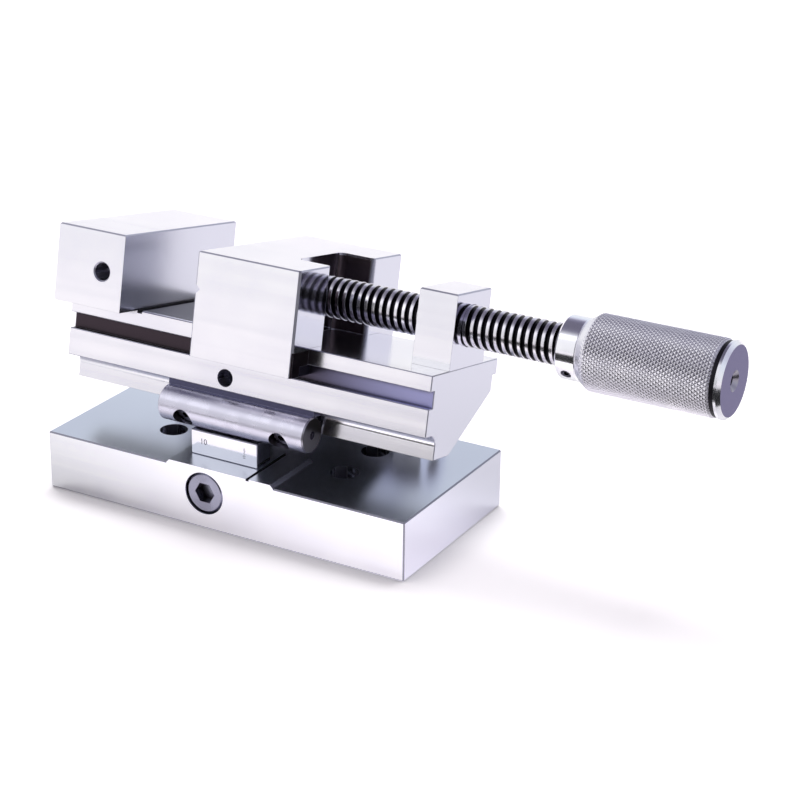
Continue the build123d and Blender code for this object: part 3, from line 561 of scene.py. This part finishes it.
def etched_mark(name, words, height, x, z, turned):
    """Plain figures on the gauge block's front face; turned is in degrees about Y."""
    letters = bpy.data.curves.new(name, "FONT")
    letters.body = words
    letters.size = height
    letters.align_x = "CENTER"
    letters.align_y = "CENTER"
    letters.extrude = ETCH_FILM
    shape = bpy.data.objects.new(name, letters)
    mesh = bpy.data.meshes.new_from_object(shape)
    bpy.data.objects.remove(shape)
    mark = bpy.data.objects.new(name, mesh)
    mark.matrix_world = (Matrix.Translation((x, gauge_low.y - ETCH_FILM, z))
                         @ Matrix.Rotation(math.radians(turned), 4, "Y")
                         @ Matrix.Rotation(math.radians(90), 4, "X"))
    bpy.context.scene.collection.objects.link(mark)
    mesh.materials.clear()
    mesh.materials.append(etched)
    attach(mark, "gauge")


SIZE_MARK_INSET = 0.0057        # each mark's middle, in from the end nearer to it
UNIT_MARK_INSET = 0.0059
SIZE_MARK_DROP = 0.0043         # the large figure's middle, below the block's top
gauge_middle_z = (gauge_low.z + gauge_high.z) / 2
etched_mark("gauge_size_mark", "10", height=0.0032, x=gauge_low.x + SIZE_MARK_INSET,
            z=gauge_high.z - SIZE_MARK_DROP, turned=0)
etched_mark("gauge_unit_mark", "10 mm", height=0.0016, x=gauge_high.x - UNIT_MARK_INSET,
            z=gauge_middle_z, turned=-90)

# Vise body
# One long ground block on a keel, with slots along its sides and the fixed
# jaw standing on its left end. It hangs on the hinge roller, tilted. The slots
# and the roller steps are milled. They, the bed between the jaws and the keel's
# underside are painted dark as painted shade and reflection.
stop_hole = next(m for m in frame["record"]["mounts"] if m["name"] == "work_stop_hole")
TILT = math.asin(stop_hole["axis"][2])
HINGE_POINT = next(j for j in frame["joints"] if j["name"] == "vise_tilt")["pos_m"]
BED_TOP = 0.0643                # the bed's top above the floor if the vise lay level

# Vise box: a mask that is 1 inside a box that is square with the tilted vise.
vise_box, given, out = group_tree(
    "vise_box",
    [("Low", "NodeSocketVector", (0, 0, 0)), ("High", "NodeSocketVector", (0, 0, 0)),
     ("Soft", "NodeSocketFloat", 0.0002)],
    ["Mask", "Along"])
place = node_after(vise_box, "ShaderNodeTexCoord", (-1200, -300)).outputs["Object"]
level = turned_by(vise_box, (-1000, -300), place, TILT, (0.0, HINGE_POINT[1], HINGE_POINT[2]))
from_bed = vector_maths(vise_box, (-800, -300), "SUBTRACT", level, (0.0, 0.0, BED_TOP))
above_low = vector_maths(vise_box, (-600, 0), "SUBTRACT", from_bed, given["Low"])
below_high = vector_maths(vise_box, (-600, -200), "SUBTRACT", given["High"], from_bed)
depth = vector_maths(vise_box, (-400, -100), "MINIMUM", above_low, below_high)
depths = node_after(vise_box, "ShaderNodeSeparateXYZ", (-250, -100), Vector=depth).outputs
least = maths(vise_box, (-100, -100), "MINIMUM", depths["X"], depths["Y"])
least = maths(vise_box, (-50, -100), "MINIMUM", least, depths["Z"])
feed(out["Mask"], maths(vise_box, (50, -100), "DIVIDE", least, given["Soft"], clamped=True))
across = node_after(vise_box, "ShaderNodeSeparateXYZ", (-600, -450), Vector=from_bed)
feed(out["Along"], across.outputs["X"])

SHADE_ROUGHNESS = 0.35


def shade_in_box(material, box_mm, colour, soft_mm=0.2):
    """Painted shade inside a box, given as its low and high corners.

    They are in millimetres along the vise from its middle, across it, and up from the
    bed's top.
    """
    low, high = ([size / 1000 for size in corner] for corner in box_mm)
    box = node_after(material.node_tree, "ShaderNodeGroup", (-600, 900), node_tree=vise_box,
                     Low=low, High=high, Soft=soft_mm / 1000)
    lay_over(material, box.outputs["Mask"], colour, SHADE_ROUGHNESS)


def along_vise(material, fade_mm, colour_a, colour_b):
    """A colour that fades from colour_a to colour_b along the vise; returns its link."""
    tree = material.node_tree
    place = node_after(tree, "ShaderNodeGroup", (-900, 900), node_tree=vise_box)
    share = mask_along(tree, (-750, 900), place.outputs["Along"],
                       fade_mm[0] / 1000, fade_mm[1] / 1000)
    return mix_colour(tree, (-600, 1050), share, colour_a, colour_b)


VISE_ROUGHNESS = 0.17
# painted shade on the vise's chamfers and fillets
SLANT_GREY = (0.56, 0.56, 0.65)


def vise_block_steel(name, end_roughness):
    """The vise's ground steel, before its scale, oil and edges."""
    return ground_steel(name, GROUND_COLOUR, GROUND_TINT, SHADED_ENDS, VISE_ROUGHNESS,
                        turn=TILT, bump=0.06, slants=SLANT_GREY, end_roughness=end_roughness)


SHADE_BLACK = (0.060, 0.045, 0.055)
SHADE_BLUE = (0.50, 0.50, 0.82)
SLOT_FADE = (15, 80)            # the slots' painted shade turns from black to blue along here
SLOT_END = 79.8                 # slots, boxes and fades are in the vise's own millimetres
SLOT_TOP = -5.9
SLOT_BOTTOM = -12.6
SLOT_INNER = 22.9
SLOT_OUTER = 25.95
# painted shade on the keel's strip above each roller
SEAT_BLUE = (0.10, 0.10, 0.17)
ROLLER_STEP = ((-32.7, -25.6, -25.6), (32.7, -17.9, -23.1))
BED_DARK = (0.12, 0.12, 0.135)  # the bed between the jaws, painted dark as painted reflection of the jaws, fading out to the right
BED_FADE = (-21, -6)
SHADED_BED = ((-48.3, -24.5, -1.0), (-6.0, 24.5, 0.2))
# painted shade on the keel's underside, black to the left and grey to the right
KEEL_BLACK = (0.06, 0.05, 0.06)
KEEL_GREY = (0.55, 0.54, 0.58)
KEEL_FADE = (-20, 12)
KEEL_FOOT = ((-79.5, -17.6, -33.0), (79.5, 25.8, -32.5))
vise_steel = vise_block_steel("vise_steel", end_roughness=0.22)
for low_side, high_side in ((-SLOT_OUTER, -SLOT_INNER), (SLOT_INNER, SLOT_OUTER)):
    slot = ((-SLOT_END, low_side, SLOT_BOTTOM), (SLOT_END, high_side, SLOT_TOP))
    slot_shade = along_vise(vise_steel, SLOT_FADE, SHADE_BLACK, SHADE_BLUE)
    shade_in_box(vise_steel, slot, slot_shade, soft_mm=0.1)
shade_in_box(vise_steel, ROLLER_STEP, SEAT_BLUE)
bed_shade = along_vise(vise_steel, BED_FADE, BED_DARK, GROUND_TINT)
shade_in_box(vise_steel, SHADED_BED, bed_shade, soft_mm=0.15)
keel_shade = along_vise(vise_steel, KEEL_FADE, KEEL_BLACK, KEEL_GREY)
shade_in_box(vise_steel, KEEL_FOOT, keel_shade, soft_mm=0.1)
recess_shade_and_edges(vise_steel)
finish_node("vise_body", vise_steel)

# Rollers and their screws
# Two hardened steel rollers, centreless ground and polished, with their ends
# painted dark as painted shade. Each is drawn up against the keel by two sunk
# socket screws. The rear one is the hinge.


def across_axis(tree, x, y, axis_y=0.0, axis_z=0.0):
    """How the shaded point lies from an X axis; returns the offset's link and its length's.

    x and y place the nodes, axis_y and axis_z the axis.
    """
    place = node_after(tree, "ShaderNodeTexCoord", (x, y)).outputs["Object"]
    from_axis = vector_maths(tree, (x + 200, y), "SUBTRACT", place, (0.0, axis_y, axis_z))
    offset = vector_maths(tree, (x + 350, y), "MULTIPLY", from_axis, (0, 1, 1))
    return offset, vector_maths(tree, (x + 500, y), "LENGTH", offset)


# painted shade on the rollers' end faces
ROLLER_END = (0.13, 0.115, 0.12)
ROLLER_END_ROUGHNESS = 0.30
ON_BARREL = 0.99                # holes and ends face further away from straight outward


def roller_steel(node):
    """Polished roller steel whose barrel shades as true as the real one's, about its own axis."""
    material = plain_steel(node + "_steel", colour=(0.66, 0.65, 0.75), stain=(0.63, 0.62, 0.72),
                           roughness=0.27, bump=0.01)
    tree = material.node_tree
    normal = node_after(tree, "ShaderNodeTexCoord", (-2000, 400)).outputs["Normal"]
    facing = node_after(tree, "ShaderNodeSeparateXYZ", (-1400, 400), Vector=normal)
    end = maths(tree, (-1200, 400), "ABSOLUTE", facing.outputs["X"])
    is_end = mask_along(tree, (-1000, 400), end, 0.5, 0.9)
    lay_over(material, is_end, ROLLER_END, ROLLER_END_ROUGHNESS)

    # The CAD mesh has a barrel of narrow flats, so its normal is worked out from the axis.
    low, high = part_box(node)
    outward, radius = across_axis(tree, -2000, 700, (low.y + high.y) / 2, (low.z + high.z) / 2)
    along = vector_maths(tree, (-1400, 550), "DOT_PRODUCT", outward, normal)
    square_on = maths(tree, (-1200, 650), "DIVIDE", along, radius)
    on_barrel = maths(tree, (-1000, 650), "GREATER_THAN", square_on, ON_BARREL)
    true_outward = node_after(tree, "ShaderNodeVectorTransform", (-1200, 850), vector_type="NORMAL",
                              convert_from="OBJECT", convert_to="WORLD", Vector=outward)
    shading = node_after(tree, "ShaderNodeNewGeometry", (-1200, 1000))
    barrel_normal = node_after(tree, "ShaderNodeMix", (-900, 850), data_type="VECTOR",
                               Factor=on_barrel, A=shading.outputs["Normal"],
                               B=true_outward.outputs["Vector"])
    relief = tree.nodes["Principled BSDF"].inputs["Normal"].links[0].from_node
    feed(relief.inputs["Normal"], barrel_normal.outputs["Result"])
    recess_shade_and_edges(material, reach=None, width=0.0002)
    return material


for node in ("front_roller", "hinge_roller"):
    finish_node(node, roller_steel(node))
finish_node("front_roller_screws", screw_steel)
finish_node("hinge_roller_screws", screw_steel)

# Lock strap
# A curved strap of hardened steel, pinned in the keel by a dog-point screw
# through the flange and clamped in the base's slot.
finish_node("lock_strap", pin_steel)
finish_node("strap_screw", screw_steel)

# Post
# A ground block at the right end of the bed that carries the screw's thread,
# held by two screws from below and two dowels.
LAPPED_END = 0.09               # polished enough to mirror the screw
post_steel = vise_block_steel("post_steel", LAPPED_END)
recess_shade_and_edges(post_steel)
finish_node("nut_post", post_steel)
finish_node("post_screws", screw_steel)
finish_node("post_dowels", pin_steel)

# Movable jaw
# A saddle of ground steel that straddles the bed, with a V groove across its
# face and a keeper strip under each skirt. Its pocket for the post is milled.
# The pocket, the skirts' ends and the gripping face are painted dark as painted shade.
POCKET_BLACK = (0.11, 0.085, 0.095)
POCKET = ((13.4, -16.2, 0.1), (27.9, 16.2, 29.2))
SKIRT_END = ((27.6, -40.0, -22.0), (28.4, -24.0, -0.5))
# painted shade on the gripping face between the jaws
JAW_FACE_GREY = (0.40, 0.41, 0.48)
JAW_FACE = ((-16.5, -40.0, -20.0), (-15.7, 40.0, 40.0))
# painted shade on the jaw's edges
JAW_EDGE = (0.60, 0.60, 0.69)
jaw_steel = vise_block_steel("jaw_steel", LAPPED_END)
shade_in_box(jaw_steel, POCKET, POCKET_BLACK)
shade_in_box(jaw_steel, SKIRT_END, SHADE_BLACK, soft_mm=0.1)
shade_in_box(jaw_steel, JAW_FACE, JAW_FACE_GREY, soft_mm=0.1)
recess_shade_and_edges(jaw_steel, edge=JAW_EDGE)
finish_node("movable_jaw", jaw_steel)
finish_node("keeper_front", post_steel)
finish_node("keeper_rear", post_steel)
finish_node("keeper_screws", screw_steel)
finish_node("retaining_pins", pin_steel)
finish_node("thrust_button", pin_steel)

# Lead screw
# A turned steel screw with a right-hand trapezoidal thread, 3.175 mm to the
# turn, polished on its crests, with its grooves painted black as painted shade. Its
# plain end turns in the jaw and its spigot carries the handle.
spin = next(j for j in frame["joints"] if j["name"] == "spindle_spin")
AXIS_POINT = Vector(spin["pos_m"])
coupling = frame["record"]["behaviour"]["couplings"][0]
PITCH = 2 * math.pi / coupling["ratio"]
screw_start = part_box("lead_screw")[0].x
screw_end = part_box("lead_screw")[1].x
PLAIN_L = 0.01198               # the plain end, before the thread
THREAD_START = screw_start + PLAIN_L
THREAD_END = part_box("collar")[0].x
THREAD_R = 0.0079
THREAD_DEPTH = 0.0013
CREST_SHARE = 0.42              # flat crest, as a share of the pitch
ROOT_SHARE = 0.36
CREST_ROUND = 0.035             # rounding at each side of the crest
CREST_DROP = 0.00010
TURN_STEPS = 96


def thread_profile():
    """(share of the pitch, radius) points of one thread, starting mid crest."""
    root_r = THREAD_R - THREAD_DEPTH
    crest = CREST_SHARE / 2
    return [
        (0.0, THREAD_R),
        (crest - CREST_ROUND, THREAD_R - CREST_DROP * 0.1),
        (crest, THREAD_R - CREST_DROP),
        (0.5 - ROOT_SHARE / 2, root_r + CREST_DROP),
        (0.5 - ROOT_SHARE / 2 + CREST_ROUND, root_r),
        (0.5 + ROOT_SHARE / 2 - CREST_ROUND, root_r),
        (0.5 + ROOT_SHARE / 2, root_r + CREST_DROP),
        (1 - crest, THREAD_R - CREST_DROP),
        (1 - crest + CREST_ROUND, THREAD_R - CREST_DROP * 0.1),
    ]


def helical_thread(start, end):
    """The thread from start to end along X about the origin's X axis, closed at both ends."""
    bm = bmesh.new()
    first = math.floor(start / PITCH) - 2
    last = math.ceil(end / PITCH) + 1
    rows = [(turns + share, radius) for turns in range(first, last)
            for share, radius in thread_profile()]
    rings = []
    for turns, radius in rows:
        ring = []
        for step in range(TURN_STEPS + 1):
            angle = 2 * math.pi * step / TURN_STEPS
            x = (turns + step / TURN_STEPS) * PITCH
            ring.append(bm.verts.new((x, radius * math.cos(angle), radius * math.sin(angle))))
        rings.append(ring)
    for ring, following in zip(rings, rings[1:]):
        for step in range(TURN_STEPS):
            bm.faces.new((ring[step], following[step], following[step + 1], ring[step + 1]))
    bmesh.ops.remove_doubles(bm, verts=bm.verts, dist=1e-7)
    for x, outward in ((start, -1), (end, 1)):
        geometry = bm.verts[:] + bm.edges[:] + bm.faces[:]
        cut = bmesh.ops.bisect_plane(bm, geom=geometry, plane_co=(x, 0, 0),
                                     plane_no=(outward, 0, 0), clear_outer=True)
        rim = [e for e in cut["geom_cut"] if isinstance(e, bmesh.types.BMEdge)]
        bmesh.ops.holes_fill(bm, edges=rim)
    bmesh.ops.recalc_face_normals(bm, faces=bm.faces)
    return bm


def turned_shape(bm, profile, steps):
    """Adds a closed turned solid about the X axis; profile is a closed loop of (x, radius)."""
    rings = []
    for x, radius in profile:
        rings.append([bm.verts.new((x, radius * math.cos(2 * math.pi * step / steps),
                                    radius * math.sin(2 * math.pi * step / steps)))
                      for step in range(steps)])
    for ring, following in zip(rings, rings[1:] + rings[:1]):
        for step in range(steps):
            after = (step + 1) % steps
            bm.faces.new((ring[step], ring[after], following[after], following[step]))


def object_from(bm, name, material, smooth_under):
    """Turns a bmesh about the X axis into an object on the screw's axis."""
    bmesh.ops.recalc_face_normals(bm, faces=bm.faces)
    mesh = bpy.data.meshes.new(name)
    bm.to_mesh(mesh)
    bm.free()
    piece = bpy.data.objects.new(name, mesh)
    piece.location = Vector((0, AXIS_POINT.y, AXIS_POINT.z))
    bpy.context.scene.collection.objects.link(piece)
    mesh.materials.append(material)
    mesh.shade_smooth()
    mesh.set_sharp_from_angle(angle=math.radians(smooth_under))
    return piece


# painted shade in the thread's grooves and the grip's end groove
GROOVE_BLACK = (0.03, 0.028, 0.035)
GROOVE_ROUGHNESS = 0.35
SHADE_LINE = (THREAD_R - 0.00012, THREAD_R - 0.00045)  # the grooves' painted shade sets in between these radii
thread_steel = plain_steel("thread_steel", colour=(0.84, 0.82, 0.86), stain=(0.74, 0.72, 0.77),
                           roughness=0.22, bump=0.03)
tree = thread_steel.node_tree
thread_radius = across_axis(tree, -2000, 300)[1]
in_groove = mask_along(tree, (-1500, 300), thread_radius, *SHADE_LINE)
lay_over(thread_steel, in_groove, GROOVE_BLACK, GROOVE_ROUGHNESS)
LEAD_IN = 0.0010
PLAIN_R = 0.0050
SPIGOT_R = 0.0060
NECK_R = 0.0036
NECK_HALF = 0.0017
NECK_TO_THREAD = 0.0084
SCREW_BORE_R = 0.0025
SCREW_BORE_L = 0.0150
TINY_R = 0.00002
neck_x = THREAD_START - NECK_TO_THREAD
core_r = THREAD_R - THREAD_DEPTH
lead_bm = helical_thread(THREAD_START + LEAD_IN, THREAD_END - LEAD_IN / 2)
turned_shape(lead_bm, [
    (screw_start, TINY_R), (screw_start, PLAIN_R), (neck_x - NECK_HALF, PLAIN_R),
    (neck_x - NECK_HALF, NECK_R), (neck_x + NECK_HALF, NECK_R), (neck_x + NECK_HALF, PLAIN_R),
    (THREAD_START, PLAIN_R), (THREAD_START, core_r), (THREAD_END, core_r),
    (THREAD_END, SPIGOT_R), (screw_end, SPIGOT_R), (screw_end, SCREW_BORE_R),
    (screw_end - SCREW_BORE_L, SCREW_BORE_R), (screw_end - SCREW_BORE_L, TINY_R),
], TURN_STEPS)
lead_screw = object_from(lead_bm, "lead_screw_cut_thread", thread_steel, 28)
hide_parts("lead_screw")
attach(lead_screw, "spindle")

# Collar
# A turned and polished ring that backs the handle, fixed on the screw by a
# small set screw.
collar_steel = plain_steel("collar_steel", colour=(0.95, 0.95, 0.98), stain=(0.91, 0.91, 0.95),
                           roughness=0.13, bump=0.03)
recess_shade_and_edges(collar_steel, reach=0.002, width=0.0002)
finish_node("collar", collar_steel)
finish_node("collar_set_screw", screw_steel)

# Handle
# A turned steel grip with a diamond knurl rolled into it, a nose cone at its
# inner end and a groove before the cap. One screw holds it on the spigot.
grip_low, grip_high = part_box("handle")
GRIP_R = 0.0143
GRIP_START = grip_low.x
GRIP_STOP = grip_high.x
KNURL_STARTS = 55
KNURL_LEAN = math.radians(38.5)  # the grooves' angle to the handle's axis
KNURL_DEPTH = 0.00020
KNURL_GRID = 4                  # mesh steps from one groove to the next of its kind
NOSE_L = 0.0036
NOSE_RISE = 0.0024
GRIP_END_EDGE = 0.0007
END_GROOVE_W = 0.0018
END_GROOVE_R = GRIP_R - 0.0006
BORE_R = 0.0060
BORE_L = 0.0300
WEB_L = 0.0050
WEB_HOLE_R = 0.0025
CAP_BORE_R = 0.0065
KNURL_END = GRIP_STOP - END_GROOVE_W


def turned_radius(x):
    """Radius of the grip before knurling: nose cone, plain, chamfer at the groove."""
    nose = GRIP_R - NOSE_RISE * (1 - (x - GRIP_START) / NOSE_L)
    end_edge = GRIP_R - GRIP_END_EDGE + (KNURL_END - x)
    return min(GRIP_R, nose, end_edge)


def knurled_grip():
    """The grip as one closed mesh: crossed grooves outside, stepped bore inside."""
    bm = bmesh.new()
    columns = KNURL_GRID * KNURL_STARTS
    column_angle = 2 * math.pi / columns
    rows = round((KNURL_END - GRIP_START) * math.tan(KNURL_LEAN) / (GRIP_R * column_angle))
    row_step = (KNURL_END - GRIP_START) / rows

    def ring(x, radius, groove=lambda s: 0):
        return [bm.verts.new((x, (radius - groove(s)) * math.cos(column_angle * s),
                              (radius - groove(s)) * math.sin(column_angle * s)))
                for s in range(columns)]

    rings = []
    for m in range(rows + 1):
        x = GRIP_START + m * row_step
        depth = KNURL_DEPTH * min(1.0, (x - GRIP_START) / NOSE_L)

        def groove(s):
            on_groove = (s + m) % KNURL_GRID == 0 or (s - m) % KNURL_GRID == 0
            return depth if on_groove else 0

        rings.append(ring(x, turned_radius(x), groove))
    for m, (ring_a, ring_b) in enumerate(zip(rings, rings[1:])):
        for s in range(columns):
            t = (s + 1) % columns
            if (s + m) % 2 == 0:
                bm.faces.new((ring_a[s], ring_a[t], ring_b[t]))
                bm.faces.new((ring_a[s], ring_b[t], ring_b[s]))
            else:
                bm.faces.new((ring_a[s], ring_a[t], ring_b[s]))
                bm.faces.new((ring_a[t], ring_b[t], ring_b[s]))
    web_start = GRIP_START + BORE_L
    web_end = web_start + WEB_L
    rest = [ring(x, radius) for x, radius in (
        (KNURL_END, END_GROOVE_R), (GRIP_STOP, END_GROOVE_R), (GRIP_STOP, CAP_BORE_R),
        (web_end, CAP_BORE_R), (web_end, WEB_HOLE_R), (web_start, WEB_HOLE_R),
        (web_start, BORE_R), (GRIP_START, BORE_R))]
    loop = [rings[-1]] + rest + [rings[0]]
    for ring_a, ring_b in zip(loop, loop[1:]):
        for s in range(columns):
            t = (s + 1) % columns
            bm.faces.new((ring_a[s], ring_a[t], ring_b[t], ring_b[s]))
    return bm


# painted shade in the knurl's grooves
KNURL_GREY = (0.76, 0.74, 0.80)
KNURL_ROUGHNESS = 0.40
END_GROOVE_ROUGHNESS = 0.5
GROOVE_EDGE = 0.00002           # the end groove's black sets in over this length
knurl_steel = plain_steel("knurl_steel", colour=(0.94, 0.93, 0.96), stain=(0.87, 0.86, 0.91),
                          roughness=0.30, bump=0.05)
tree = knurl_steel.node_tree
knurl_radius = across_axis(tree, -2000, 300)[1]
knurl_place = node_after(tree, "ShaderNodeTexCoord", (-2000, 600)).outputs["Object"]
knurl_x = node_after(tree, "ShaderNodeSeparateXYZ", (-1850, 600), Vector=knurl_place).outputs["X"]
clear_of_nose = mask_along(tree, (-1700, 600), knurl_x,
                           GRIP_START + NOSE_L * 0.8, GRIP_START + NOSE_L)
deep = mask_along(tree, (-1500, 300), knurl_radius,
                  GRIP_R - KNURL_DEPTH * 0.1, GRIP_R - KNURL_DEPTH)
in_knurl = maths(tree, (-1300, 400), "MULTIPLY", clear_of_nose, deep)
lay_over(knurl_steel, in_knurl, KNURL_GREY, KNURL_ROUGHNESS)
# painted shade in the end groove before the cap
past_knurl = mask_along(tree, (-1700, 800), knurl_x,
                        KNURL_END - GROOVE_EDGE, KNURL_END + GROOVE_EDGE)
lay_over(knurl_steel, past_knurl, GROOVE_BLACK, END_GROOVE_ROUGHNESS)
grip = object_from(knurled_grip(), "knurled_grip", knurl_steel, 25)
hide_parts("handle")
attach(grip, "spindle")

# Handle cap
# A fine turned disc plugged into the end of the grip, drilled and countersunk
# in the middle for the key of the screw behind it. Its rim is polished and its
# face is left as the tool leaves it, with the rings of the cut. The face is
# painted dark blue and the countersink grey as painted shade.
RING_SCALE = 700.0
# painted shade: the face's dark blue, with the rings of the cut over it
RING_BLUE = (0.140, 0.120, 0.27)
RING_DARK = (0.105, 0.090, 0.22)
CAP_FACE_ROUGHNESS = 0.28
CENTRE_R = 0.0045
# painted shade in the countersink
CENTRE_GREY = (0.36, 0.34, 0.40)
CENTRE_ROUGHNESS = 0.30
cap_steel = plain_steel("cap_steel", colour=(0.86, 0.86, 0.90), stain=(0.80, 0.80, 0.85),
                        roughness=0.16)
tree = cap_steel.node_tree
cap_normal = node_after(tree, "ShaderNodeTexCoord", (-2000, 500)).outputs["Normal"]
cap_facing = node_after(tree, "ShaderNodeSeparateXYZ", (-1800, 500), Vector=cap_normal)
cap_face = mask_along(tree, (-1600, 500), cap_facing.outputs["X"], 0.90, 0.95)
from_centre, centre_distance = across_axis(tree, -2000, 700, AXIS_POINT.y, AXIS_POINT.z)
rings = node_after(tree, "ShaderNodeTexWave", (-1500, 800), wave_type="RINGS", rings_direction="X",
                   Vector=from_centre, Scale=RING_SCALE, Distortion=1.0)
ring_colour = mix_colour(tree, (-1300, 700), rings.outputs["Fac"], RING_BLUE, RING_DARK)
countersink = mask_along(tree, (-1300, 900), centre_distance, CENTRE_R * 1.1, CENTRE_R)
lay_over(cap_steel, countersink, CENTRE_GREY, CENTRE_ROUGHNESS)
lay_over(cap_steel, cap_face, ring_colour, CAP_FACE_ROUGHNESS)
recess_shade_and_edges(cap_steel, width=0.0001)
finish_node("handle_cap", cap_steel)
finish_node("handle_screw", screw_steel)
